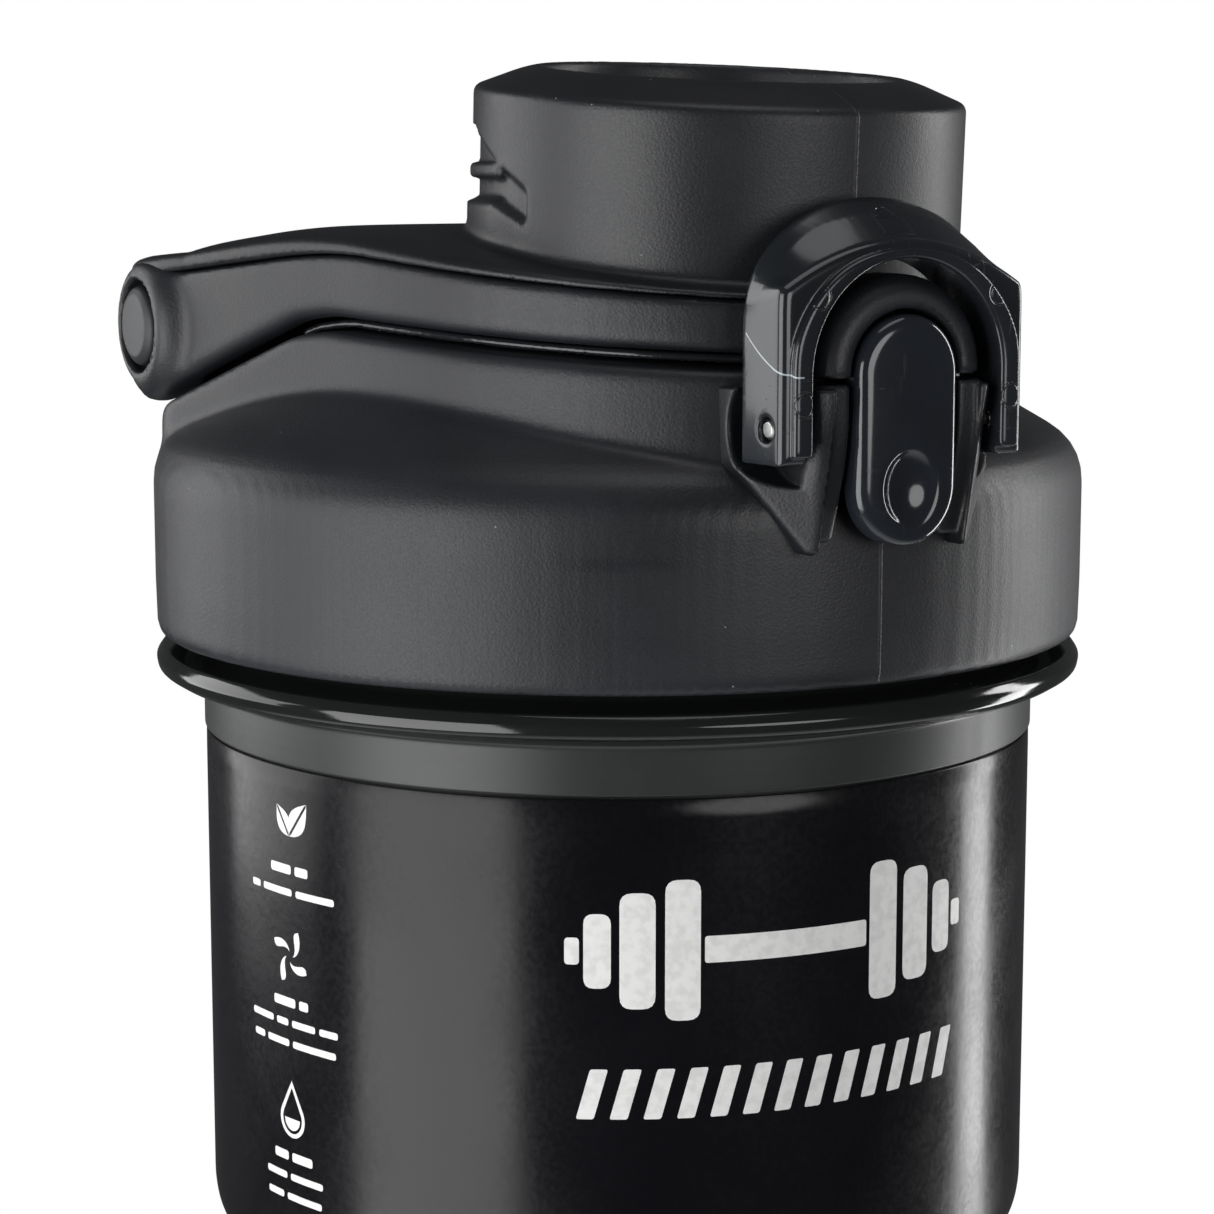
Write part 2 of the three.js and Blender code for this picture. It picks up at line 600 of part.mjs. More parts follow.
function paddleWheel() {
  const outline = [];
  const back = [];
  for (let i = 0; i <= 8; i++) {
    const t = i / 8;
    const radius = between(1.6, 13.6, t);
    const swing = 0.9 * t * t;
    outline.push([radius * Math.cos(swing), radius * Math.sin(swing)]);
    const lag = swing + between(0.5, 0.09, t);
    back.unshift([radius * Math.cos(lag), radius * Math.sin(lag)]);
  }
  let wheel = toSolid(turned([[0, -13.4], [2.2, -13.4], [2.2, 13.4], [0, 13.4]], 24));
  for (let i = 0; i < 5; i++) {
    const blade = raised([...outline, ...back], -5.6, 5.6).rotateZ((2 * Math.PI * i) / 5);
    wheel = join(wheel, toSolid(blade));
  }
  return wheel.translate([0, 0, BALL_Z]);
}

// ---------- assembly ----------
const shaker = new THREE.Group();
shaker.name = 'protein_shaker_bottle';

function place(name, solid, material) {
  const mesh = new THREE.Mesh(toGeometry(solid), material);
  mesh.name = name;
  shaker.add(mesh);
}

place('cup_body', cupBody(), smokePlastic());
place('label_sleeve', labelSleeve(), printedFilm());
place('lid_shell', lidShell(), softTouch());
place('lid_thread_liner', threadLiner(), smokePlastic());
place('lid_gasket', gasket(), silicone());
place('drinking_spout', spout(), glossPlastic());
place('flip_cap_frame', flipCapFrame(), softTouch());
place('flip_cap_tower', flipCapTower(), softTouch());
place('spout_plug', spoutPlug(), silicone());
place('hinge_pin_left', hingePin(-1), glossPlastic());
place('hinge_pin_right', hingePin(1), glossPlastic());
place('lock_bail', lockBail(), glossPlastic());
place('release_button', releaseButton(), glossPlastic());
place('latch_pin', latchPin(), steel());
place('button_spring', buttonSpring(), steel());
place('mixer_ball_upper_half', slottedHalf(1), palePlastic());
place('mixer_ball_lower_half', slottedHalf(-1), palePlastic());
place('mixer_paddle_wheel', paddleWheel(), palePlastic());

export default shaker;
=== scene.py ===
import math

import bmesh
import bpy
import numpy as np
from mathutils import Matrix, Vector

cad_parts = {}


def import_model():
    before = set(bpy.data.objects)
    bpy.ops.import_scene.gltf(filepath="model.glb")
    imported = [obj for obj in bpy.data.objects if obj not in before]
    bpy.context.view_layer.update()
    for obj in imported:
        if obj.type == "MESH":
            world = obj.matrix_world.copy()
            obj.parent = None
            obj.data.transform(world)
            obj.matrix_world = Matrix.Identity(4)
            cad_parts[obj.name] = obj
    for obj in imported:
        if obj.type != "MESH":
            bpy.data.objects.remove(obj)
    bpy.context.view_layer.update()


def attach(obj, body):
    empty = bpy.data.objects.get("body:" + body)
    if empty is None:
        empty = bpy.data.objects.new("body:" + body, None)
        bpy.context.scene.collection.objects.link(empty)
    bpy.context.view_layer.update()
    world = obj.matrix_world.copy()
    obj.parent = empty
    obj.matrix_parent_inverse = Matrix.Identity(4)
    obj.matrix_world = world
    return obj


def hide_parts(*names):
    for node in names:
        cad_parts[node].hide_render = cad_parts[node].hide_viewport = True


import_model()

MM = 0.001
clip, hypot = np.clip, np.hypot

# ---- driving sizes, millimetres
# x points to the lock, y to the right seen from the rear, z up; (x, z) pairs are axes along y
LABEL_TOP = 166.0
LABEL_BOTTOM = 101.0
DRUM_R = 43.75  # outside of the printed sleeve
CEILING = 194.2  # underside of the lid's top, where the seal sits
THREAD_PITCH = 8.0
TOWER_X = 19.3  # axis of the spout and the cap's tower
TOWER_R = 24.2
TILT = 0.08  # fall of the tower's top towards the lock
PIVOT = (-24.0, 207.6)  # hinge of the flip cap
LOBE_R = 6.9
LOBE_IN = 38.5
LOBE_OUT = 44.6
PIN_BORE = 2.2
LATCH = (49.8, 201.1)  # steel pin of the lock and the button
LATCH_BORE = 1.15
EAR_IN = 5.9  # the two ears stand between these distances from the middle
EAR_OUT = 9.1
LEG_IN = 9.7  # room beside each ear for a leg of the lock
LEG_OUT = 15.0
SPRING_DROP = 4.1  # spring's axis below the steel pin
SPRING_BORE = 1.8
BALL_R = 17.0
BALL_Z = 19.9
# heights over LABEL_TOP along x: lid's platform, step line round the cap, rise of the cap's deck over it
SEAM = [(-60, 31), (-30, 31), (-24, 32.3), (0, 41.7), (5, 42.3), (50, 39.6)]
LIP = [(-60, 46.6), (-26, 46.6), (1, 49.7), (8, 49.9), (50, 45.8)]
DECK_RISE = [(-20, 2.9), (-4, 3.2), (8, 2.3), (45, 0.8)]
# plan of the platform and the cap, from the lock back along one side
HALF_OUTLINE = [
    (46.4, 0), (45.5, 7), (42.8, 13.5), (38.6, 19), (32.6, 24.5), (24, 29.6),
    (14.5, 33.2), (4, 36.2), (-8, 39.6), (-18, 42.2), (-23, 43.1),
]


# ---- fields: negative inside, millimetres
def smin(a, b, k):
    """The smaller of two fields, blended where they are closer than k."""
    h = np.maximum(k - np.abs(a - b), 0.0) / k
    return np.minimum(a, b) - h * h * k * 0.25


def smax(a, b, k):
    return -smin(-a, -b, k)


def both(k, *fields):
    """What lies in every field, its edges rounded by about k."""
    made = fields[0]
    for f in fields[1:]:
        made = smax(made, f, k)
    return made


def polygon(points):
    """Signed distance to a closed polygon, as a function of two arrays."""
    pts = np.asarray(points, np.float32)

    def distance(u, v):
        best = None
        inside = None
        for (ax, ay), (bx, by) in zip(pts, np.roll(pts, -1, 0)):
            ex, ey = bx - ax, by - ay
            if ex == 0 and ey == 0:
                continue
            wx, wy = u - ax, v - ay
            t = clip((wx * ex + wy * ey) / (ex * ex + ey * ey), 0, 1)
            d = (wx - t * ex) ** 2 + (wy - t * ey) ** 2
            best = d if best is None else np.minimum(best, d)
            if ey != 0:
                hit = ((ay > v) != (by > v)) & (u < ex * (v - ay) / ey + ax)
                inside = hit if inside is None else inside ^ hit
        return np.where(inside, -1, 1) * np.sqrt(best)

    return distance


def spline(points, steps):
    """A curve through the points, as even steps of a Catmull-Rom spline."""
    p = np.asarray(points, float)
    made = []
    for i in range(steps + 1):
        s = i / steps * (len(p) - 1)
        k = min(int(s), len(p) - 2)
        t = s - k
        a, b, c, d = p[max(k - 1, 0)], p[k], p[k + 1], p[min(k + 2, len(p) - 1)]
        made.append(0.5 * (2 * b + (c - a) * t + (2 * a - 5 * b + 4 * c - d) * t * t
                           + (3 * b - a - 3 * c + d) * t ** 3))
    return made


def rounded(points, arc=5):
    """(x, y) or (x, y, radius) corners of a closed polygon, the latter turned into arcs."""
    made = []
    n = len(points)
    for i, corner in enumerate(points):
        x, y, r = corner if len(corner) == 3 else (*corner, 0)
        here = Vector((x, y))
        if r == 0:
            made.append((x, y))
            continue
        before = Vector(points[i - 1][:2]) - here
        after = Vector(points[(i + 1) % n][:2]) - here
        half = before.angle(after) / 2
        reach = min(r / math.tan(half), before.length * 0.48, after.length * 0.48)
        a = here + before.normalized() * reach
        b = here + after.normalized() * reach
        for k in range(arc + 1):
            t = k / arc
            p = a * (1 - t) ** 2 + here * 2 * t * (1 - t) + b * t * t
            made.append((p.x, p.y))
    return made


def along(line, x, soft=2.0):
    """Height over a side line at x, its bends rounded over a run of soft on each side."""
    xs = [p[0] for p in line]
    ys = [p[1] for p in line]
    shifts = np.linspace(-soft, soft, 7)
    return sum(np.interp(x + s, xs, ys) for s in shifts) / len(shifts) + LABEL_TOP


half_plan = [tuple(p) for p in spline(HALF_OUTLINE, 40)]
whole_plan = [(x, -y) for x, y in reversed(half_plan[1:])] + half_plan
PLAN = polygon([(-70, -45)] + whole_plan + [(-70, 45)])


def seam(x):
    return along(SEAM, x, 1.5)


def lip(x):
    return along(LIP, x, 3.0)


def deck(x):
    return lip(x) + along(DECK_RISE, x, 3.0) - LABEL_TOP


def box_field(x, y, z, low, high, k=0.3):
    return both(k, low[0] - x, x - high[0], low[1] - y, y - high[1], low[2] - z, z - high[2])


def disc_y(x, z, centre, radius):
    """An endless cylinder along y about centre."""
    return hypot(x - centre[0], z - centre[1]) - radius


# ---- meshes
def add_object(name, verts, faces, normals=None):
    """A piece from points in millimetres."""
    mesh = bpy.data.meshes.new(name)
    faces = faces if isinstance(faces, list) else faces.tolist()
    mesh.from_pydata((np.asarray(verts) * MM).tolist(), [], faces)
    mesh.validate()
    mesh.polygons.foreach_set("use_smooth", [True] * len(mesh.polygons))
    if normals is not None:
        mesh.normals_split_custom_set_from_vertices(normals.tolist())
    mesh.update()
    piece = bpy.data.objects.new(name, mesh)
    bpy.context.scene.collection.objects.link(piece)
    return piece


def grown(name, field, low, high, step):
    """A piece whose surface is where field crosses zero inside the box, as quads.

    One point goes in each grid cell that the surface crosses, at the mean of the crossings on the
    cell's edges, and is then moved onto the surface. Shading normals come from the field's slope.
    """
    axes = [np.arange(a, b + step, step, dtype=np.float32) for a, b in zip(low, high)]
    grid = np.meshgrid(*axes, indexing="ij", sparse=True)
    f = np.asarray(field(*grid), np.float32)
    f = np.broadcast_to(f, tuple(len(a) for a in axes)).copy()
    for axis in range(3):
        end = [slice(None)] * 3
        for side in (0, -1):
            end[axis] = side
            f[tuple(end)] = np.maximum(f[tuple(end)], step * 0.5)
    inside = f < 0
    nx, ny, nz = (n - 1 for n in f.shape)
    total = np.zeros((nx, ny, nz, 3), np.float32)
    count = np.zeros((nx, ny, nz), np.uint8)

    def corner(a, i, j, k):
        return a[i:i + nx, j:j + ny, k:k + nz]

    for axis in range(3):
        for u in (0, 1):
            for v in (0, 1):
                p = [0, 0, 0]
                p[(axis + 1) % 3], p[(axis + 2) % 3] = u, v
                q = list(p)
                q[axis] = 1
                fa, fb = corner(f, *p), corner(f, *q)
                hit = corner(inside, *p) != corner(inside, *q)
                t = fa[hit] / (fa[hit] - fb[hit])
                at = np.zeros((len(t), 3), np.float32)
                at[:, (axis + 1) % 3], at[:, (axis + 2) % 3], at[:, axis] = u, v, t
                total[hit] += at
                count[hit] += 1
    used = count > 0
    cell = np.argwhere(used)
    number = np.full(used.shape, -1, np.int32)
    number[used] = np.arange(len(cell))
    verts = cell + total[used] / count[used][:, None]
    quads = []
    for axis in range(3):
        a, b = (axis + 1) % 3, (axis + 2) % 3
        one = [slice(None)] * 3
        two = [slice(None)] * 3
        one[axis], two[axis] = slice(0, -1), slice(1, None)
        first, second = inside[tuple(one)], inside[tuple(two)]
        edge = np.argwhere(first != second)
        edge = edge[(edge[:, a] > 0) & (edge[:, b] > 0) & (edge[:, a] < f.shape[a] - 1)
                    & (edge[:, b] < f.shape[b] - 1)]
        ring = []
        for da, db in ((1, 1), (0, 1), (0, 0), (1, 0)):
            c = edge.copy()
            c[:, a] -= da
            c[:, b] -= db
            ring.append(number[c[:, 0], c[:, 1], c[:, 2]])
        ring = np.stack(ring, 1)
        out = first[edge[:, 0], edge[:, 1], edge[:, 2]]
        ring[~out] = ring[~out][:, ::-1]
        quads.append(ring)
    quads = np.concatenate(quads)
    slope = [np.gradient(f, axis=axis) for axis in range(3)]

    def sample(a, p):
        """Values of grid a at fractional grid places p."""
        i = clip(p.astype(int), 0, np.array(a.shape) - 2)
        t = p - i
        made = 0
        for c in range(8):
            d = ((c >> 2) & 1, (c >> 1) & 1, c & 1)
            w = np.prod([t[:, k] if d[k] else 1 - t[:, k] for k in range(3)], 0)
            made = made + w * a[i[:, 0] + d[0], i[:, 1] + d[1], i[:, 2] + d[2]]
        return made

    def gradient(p):
        return np.stack([sample(s, p) for s in slope], 1)

    base = np.array([a[0] for a in axes])
    for _ in range(2):
        g = gradient(verts)
        at = (verts * step + base).astype(np.float32)
        value = field(at[:, 0], at[:, 1], at[:, 2])
        reach = np.maximum((g ** 2).sum(1), (0.4 * step) ** 2)
        verts = verts - g * clip(value / reach, -0.5 / step, 0.5 / step)[:, None]
    g = gradient(verts)
    normals = g / np.maximum(np.linalg.norm(g, axis=1), 1e-9)[:, None]
    return add_object(name, verts * step + base, quads, normals)


def turned(name, profile, around=192, centre=(0.0, 0.0), axis="Z"):
    """A closed (radius, height) profile turned about an axis, in millimetres."""
    p = np.asarray(profile, float)
    n = len(p)
    angle = np.arange(around) * 2 * np.pi / around
    verts = np.stack([p[:, None, 0] * np.cos(angle), p[:, None, 0] * np.sin(angle),
                      np.repeat(p[:, None, 1], around, 1)], -1).reshape(-1, 3)
    faces = []
    for i in range(n):
        j = (i + 1) % n
        if p[i, 0] < 1e-6 and p[j, 0] < 1e-6:
            continue
        for k in range(around):
            m = (k + 1) % around
            ring = [i * around + k, i * around + m, j * around + m, j * around + k]
            if p[i, 0] < 1e-6:
                ring = [i * around, ring[2], ring[3]]
            elif p[j, 0] < 1e-6:
                ring = [ring[0], ring[1], j * around]
            faces.append(ring)
    if axis == "Y":
        verts = np.stack([verts[:, 0], verts[:, 2], -verts[:, 1]], 1)
        verts += np.array([centre[0], 0, centre[1]])
    else:
        verts += np.array([centre[0], centre[1], 0])
    return clean(add_object(name, verts, faces))


def clean(piece):
    """Drops unused points, such as those at the poles of a turned piece, and turns all faces outward."""
    bm = bmesh.new()
    bm.from_mesh(piece.data)
    bmesh.ops.delete(bm, geom=[v for v in bm.verts if not v.link_faces], context="VERTS")
    bmesh.ops.recalc_face_normals(bm, faces=bm.faces)
    bm.to_mesh(piece.data)
    bm.free()
    return piece


def edged(piece, angle=32):
    """Smooth shading that keeps edges sharper than the angle."""
    piece.data.set_sharp_from_angle(angle=math.radians(angle))
    return piece


def swept(name, path, section):
    """A closed section of (side, up) offsets carried along path, a list of (point, side, up), growth."""
    verts = []
    for (point, side, up), grow in path:
        for a, b in section:
            verts.append(point + side * a * grow + up * b * grow)
    n, m = len(section), len(path)
    faces = []
    for k in range(m - 1):
        for i in range(n):
            j = (i + 1) % n
            faces.append([k * n + i, k * n + j, (k + 1) * n + j, (k + 1) * n + i])
    faces.append(list(range(n))[::-1])
    faces.append([(m - 1) * n + i for i in range(n)])
    return clean(add_object(name, verts, faces))


# ---- shapes of the moulded pieces
def tower_field(x, y, z):
    """The cap's deck and the round tower on it, hollow below, with a finger recess on top."""
    rim = z - LABEL_TOP + TILT * (x - TOWER_X)
    leaned = TOWER_X + 0.05 * (z - LABEL_TOP - 50)
    rho = hypot(x - leaned, y)
    plan = PLAN(x, y)
    back = smin(-19.5 - x, smax(LOBE_IN + 0.2 - np.abs(y), -28.4 - x, 1.0), 0.6)
    footprint = smax(plan - np.interp(x, [-28, -16], [1.1, 0.3]), back, 4.0)
    rise = deck(x) - lip(x)
    crown = rise * (0.48 + 0.52 * (1 - np.exp(np.minimum(footprint, 0) / 2.6)))
    plate = both(0.8, footprint, z - lip(x) - crown)
    plate = smax(plate, lip(x) - z, 0.4)
    # thumb grip: a wedge sunk in each side, with a rib across it and a step below; turn is in
    # degrees round from the tower's back, with arc millimetres to a degree
    turn = np.degrees(np.arctan2(np.abs(y), leaned - x))
    arc = 0.42
    h = z - LABEL_TOP
    step = 55.1
    foot = step - 0.16 * np.maximum(turn - 87, 0)
    wedge = both(0.1, h - 61.5 + 0.2037 * (turn - 73), h - 62.2, foot - h, arc * (turn - 100))
    rib = both(0.5, np.abs(h - 57.9) - 0.75, arc * (turn - 90))
    proud = 0.45 * clip((96 - turn) / 10, 0, 1) * clip(0.5 - (h - step) / 0.4, 0, 1)
    wall = rho - TOWER_R + 0.75 * clip(0.5 - wedge / 0.5, 0, 1) - proud
    wall = np.minimum(wall, smax(rib, rho - TOWER_R - 0.2, 0.6))
    chamfer = 0.371 * (rho - 23.7) + 0.929 * (rim - 65.5)
    tower = both(0.7, wall, chamfer)
    tower = both(1.0, tower, rim - 67.75)
    tower = smax(tower, lip(x) + 0.5 - z, 0.3)
    made = smin(plate, tower, 1.1)
    recess = both(0.8, rho - 16.8 - 0.13 * (rim - 61.4), 61.4 - rim)
    made = smax(made, -recess, 0.55)
    cavity = both(0.6, rho - 21.8, rim - 58.6)
    made = smax(made, -cavity, 0.4)
    hollow = both(0.4, plan + 3.3, z - lip(x) - 0.5, -16.6 - x)
    return smax(made, -hollow, 0.3)


def frame_field(x, y, z):
    """The cap's side band with its hinge lobes and the horseshoe that frames the button."""
    plan = PLAN(x, y)
    top = lip(x) - 0.15
    bottom = seam(x) + 1.4
    wall = both(0.9, smax(plan, -(plan + 3.0), 0.6), z - top)
    wall = smax(wall, bottom - z, 1.6)
    wall = smax(wall, -24.0 - x, 0.4)
    lobe = both(2.6, disc_y(x, z, PIVOT, LOBE_R), np.abs(y) - LOBE_OUT)
    lobe = smax(lobe, LOBE_IN - np.abs(y), 0.5)
    made = smin(wall, lobe, 2.2)
    arch = z - LABEL_TOP - 40
    outer = hypot(y, np.maximum(arch, 0) * 1.03) - 9.0
    inner = hypot(y, np.maximum(arch, 0) * 1.05) - 5.9
    ring = both(0.5, outer, x - 52.4, (outer + x - 52.4 + 1.35) * 0.7071)
    ring = both(0.5, ring, -inner, -(arch + 0.5), 44.6 - x)
    tower_room = both(0.4, hypot(x - TOWER_X, y) - 27.6, 44.8 - arch - 40)
    under = both(0.2, x - 47.4, z - seam(47.0) - 1.4, np.abs(y) - 12)
    ring = smax(smax(ring, -tower_room, 0.3), -under, 0.2)
    made = smin(made, ring, 0.7)
    ledge = box_field(x, y, z, (44.4, -3.4, LABEL_TOP + 41.3), (49.4, 3.4, LABEL_TOP + 42.3))
    made = np.minimum(made, ledge)
    between = np.abs(y) - LOBE_IN
    barrel = both(0.3, disc_y(x, z, PIVOT, LOBE_R), between)
    behind = both(0.3, x - PIVOT[0], between)
    web = both(0.3, x - PIVOT[0] - 4, between, z - PIVOT[1] + 4)
    rivet_head = both(0.3, disc_y(x, z, PIVOT, 4.9), 42.6 - np.abs(y))
    for room in (barrel, behind, web, disc_y(x, z, PIVOT, PIN_BORE), rivet_head):
        made = smax(made, -room, 0.35)
    return made


def dome(r):
    return LABEL_TOP + 31 + 0.577 * (46.3 - r)


def skirt_profile():
    t = LABEL_TOP
    outside = [(47.3, t + 11.1), (47.6, t + 10.5, 0.3), (48.35, t + 10.6, 0.4), (48.6, t + 11.6, 0.5),
               (48.7, t + 16), (48.7, t + 29.6, 6.5), (40, dome(40), 8),
               (24, dome(24)), (0, dome(20))]
    inside = [(0, t + 33), (30, t + 33, 2), (38, t + 30.6, 2), (40.4, CEILING), (47.2, CEILING, 0.4),
              (47.2, t + 11.1)]
    return rounded(outside + inside)


SKIRT = polygon(skirt_profile())
LID_ROOM = polygon([(0, 150), (47.2, 150), (47.2, CEILING), (40.4, CEILING), (38, LABEL_TOP + 30.6),
                    (30, LABEL_TOP + 33), (0, LABEL_TOP + 33)])


def ear_field(x, y, z):
    """One of the two ears that hold the steel pin, with the fin that runs down and out to the skirt."""
    side = np.abs(y)
    h = z - LABEL_TOP
    front = 0.9508 * (x - 49.4) - 0.3097 * (h - 24.4)
    ear = both(1.2, x - 52.2, side - EAR_OUT, front)
    ear = both(0.5, ear, h - 39.0, EAR_IN - side)
    ear = both(0.6, ear, 24.4 - h, 40 - x, 30 - h + (x - 40) * -0.72)
    # the fin's outer face is the plane through its top, rear and bottom corners
    top_corner = np.array([52.2, EAR_OUT, 37.0])
    slope = np.cross(np.array([46.2, 14.2, 31.6]) - top_corner, np.array([49.3, 9.6, 24.6]) - top_corner)
    slope = slope / np.linalg.norm(slope)
    slope = slope if slope[0] > 0 else -slope
    outer = slope[0] * (x - 52.2) + slope[1] * (side - EAR_OUT) + slope[2] * (h - 37.0)
    low = (side - 9.6) * 0.83 - (h - 24.6) * 0.56
    fin = both(0.35, outer, low, side - 14.2, h - 38.6, 42.0 - x, 8.0 - side)
    return smin(ear, fin, 0.35)


def lid_field(x, y, z):
    """The lid: skirt and dome, the platform under the cap, and the knuckle of the hinge."""
    plan = PLAN(x, y)
    rho = hypot(x, y)
    made = SKIRT(rho, z)
    margin = 1.3 - 1.2 * clip((z - LABEL_TOP - 26) / 19, 0, 1)
    platform = smax(plan - margin, -25.4 - x, 1.0)
    platform = both(1.5, platform, z - seam(x))
    platform = smax(platform, 193.5 - z, 0.3)
    platform = smax(platform, rho - 47.9, 1.2)
    made = smin(made, platform, 0.7)
    knuckle = both(0.5, disc_y(x, z, PIVOT, 6.2), np.abs(y) - 38.2)
    tail = np.interp(z, [196.0, 205.6], [PIVOT[0] - 2.8, PIVOT[0] - 5.4])
    web = both(1.0, tail - x, x - PIVOT[0] - 3.4, np.abs(y) - 38.2, 196 - z, z - PIVOT[1] - 1)
    made = smin(made, smin(knuckle, web, 0.8), 0.8)
    spout_hole = hypot(x - TOWER_X, y) - 17.3
    pin_hole = both(0.2, disc_y(x, z, PIVOT, PIN_BORE), 30 - np.abs(y))
    return latch_rooms(made, x, y, z, (LID_ROOM(rho, z), spout_hole, pin_hole))


def latch_rooms(made, x, y, z, others=()):
    """Cuts the room that the lock, the button, their pin and the spring need at the front of the lid."""
    side = np.abs(y)
    swing = both(0.2, disc_y(x, z, LATCH, 5.4), LEG_IN - side, side - LEG_OUT)
    leg = both(0.2, 45.6 - x, LEG_IN - side, side - LEG_OUT, LABEL_TOP + 31.4 - z)
    button = both(0.2, 46.9 - x, side - EAR_IN, LABEL_TOP + 29 - z)
    spring = both(0.2, hypot(y, z - LATCH[1] + SPRING_DROP) - SPRING_BORE, 45 - x)
    for room in (*others, swing, leg, button, disc_y(x, z, LATCH, LATCH_BORE), spring):
        made = smax(made, -room, 0.3)
    return made


def ears_field(x, y, z):
    return latch_rooms(ear_field(x, y, z), x, y, z)


def bail_field(x, y, z):
    """The lock: an arched loop whose outline widens from the back to the face, with a chamfered rim."""
    h = z - LABEL_TOP
    t = np.linspace(math.pi, 0, 41)
    wide = 13.4 * np.cos(t)
    crown = np.minimum(51.8 - wide ** 2 / 41, 45.4 + 3 * np.sin(t) ** 0.4 + 3.4 * np.sin(t))
    back_y = 13.8 * np.cos(t)
    back_h = 43.6 + 12.2 * np.sin(t) ** 0.85
    back, foot, spring_line = 46.0, 31.9, 39.9
    stations = [(back, back_y, back_h), (48.4, wide * 0.4 + back_y * 0.6, crown * 0.38 + back_h * 0.62),
                (51.4, wide, crown + 0.2), (53.0, wide * 0.985, crown)]
    outlines = [[(ys[0], foot), *zip(ys, hs), (ys[-1], foot)] for _, ys, hs in stations]
    fields = [polygon(outline)(y, h) for outline in outlines]
    outer = fields[0] + 0 * x
    for before, after, fa, fb in zip(stations, stations[1:], fields, fields[1:]):
        outer = outer + clip((x - before[0]) / (after[0] - before[0]), 0, 1) * (fb - fa)
    above = np.maximum(h - spring_line, 0)
    arch = np.where(h < spring_line, np.abs(y), hypot(y, above)) - 10.3
    body = both(0.9, outer, x - 52.2)
    oval = (hypot(y / 12.55, above / 11.5) - 1) * 11.5
    face = both(0.45, outer + 0.75, oval, x - 53.0)
    made = np.minimum(body, face)
    made = both(0.6, made, back - x, -arch)
    return smax(made, -disc_y(x, z, LATCH, LATCH_BORE), 0.25)


def button_field(x, y, z):
    """The button: a long rounded pad with an oval dimple, a boss for the pin and a hook at the top."""
    h = z - LABEL_TOP
    flat = hypot(y, h - clip(h, 29.5, 39.7))
    crown = x - 53.4 + 0.010 * y * y + 0.0012 * (h - 36) ** 2
    pad = both(1.3, flat - 5.5, crown)
    pad = both(0.4, pad, 50.4 - x)
    boss = both(0.4, disc_y(x, z, LATCH, 2.4), np.abs(y) - 5.4)
    hook = box_field(x, y, z, (48.1, -2.9, LABEL_TOP + 42.7), (50.7, 2.9, LABEL_TOP + 44.4), 0.4)
    made = smin(pad, smin(boss, hook, 0.2), 0.3)
    dimple = (np.sqrt(((x - 53.75) / 1.6) ** 2 + (y / 3.1) ** 2 + ((h - 29.4) / 3.7) ** 2) - 1) * 1.6
    made = smax(made, -dimple, 0.28)
    pocket = both(0.2, hypot(y, z - LATCH[1] + SPRING_DROP) - SPRING_BORE, x - 51.8)
    return smax(smax(made, -pocket, 0.2), -disc_y(x, z, LATCH, LATCH_BORE), 0.2)


def spout_field(x, y, z):
    """The spout's tube with a bead round it, and the plate under the cap."""
    h = z - LABEL_TOP
    rho = hypot(x - TOWER_X, y)
    tube = smax(np.abs(rho - 15.8) - 1.2, h - 54.6, 1.3)
    tube = smax(tube, 31.0 - h, 0.4)
    bead = hypot(rho - 16.75, h - 51.2) - 0.45
    tube = smin(tube, smax(bead, rho - 17.0, 0.1), 0.3)
    plan = PLAN(x, y)
    plate = both(0.5, plan + 2.4, -2 - x, z - seam(x) - 1.1)
    plate = smax(plate, seam(x) + 0.3 - z, 0.2)
    made = smin(plate, tube, 1.0)
    return smax(made, -(rho - 14.6), 0.5)


def ball_field(side):
    """Field of one half of the mixing ball, upper for side 1 and lower for -1, with six slots."""
    def field(x, y, z):
        h = (z - BALL_Z) * side
        r = np.sqrt(x * x + y * y + h * h)
        shell = both(0.4, r - BALL_R, BALL_R - 1.6 - r, 0.34 - h, h - 16.3)
        angle = np.arctan2(y, x) - math.pi / 6
        sector = math.pi / 3
        angle = angle - sector * np.round(angle / sector)
        rho = hypot(x, y)
        across_slot = np.abs(rho * np.sin(angle)) - 3.3
        slot = both(1.6, across_slot, 3.2 - h, h - 13.4)
        slot = smax(slot, 4.9 - rho, 0.5)
        return smax(shell, -slot, 0.7)
    return field


def paddle_field(x, y, z):
    """A hub with five blades that lean forward and thin towards the tip; angles in radians."""
    root, tip = 0.5, 0.09
    h = z - BALL_Z
    rho = hypot(x, y)
    hub = both(0.6, rho - 2.2, np.abs(h) - 13.4)
    t = clip((rho - 1.6) / 12.0, 0, 1)
    wide = root + (tip - root) * t
    middle = 0.9 * t * t + 0.5 * wide
    thick = rho * wide * 0.5
    sector = 2 * math.pi / 5
    angle = np.arctan2(y, x) - middle
    angle = angle - sector * np.round(angle / sector)
    blade = both(0.7, np.abs(rho * np.sin(angle)) * 0.8 - np.maximum(thick, 0.55), rho - 13.6,
                 np.abs(h) - 5.6)
    return smin(hub, blade, 1.2)


# ---- materials
def set_inputs(node, **values):
    for name, value in values.items():
        node.inputs[name.replace("_", " ")].default_value = value


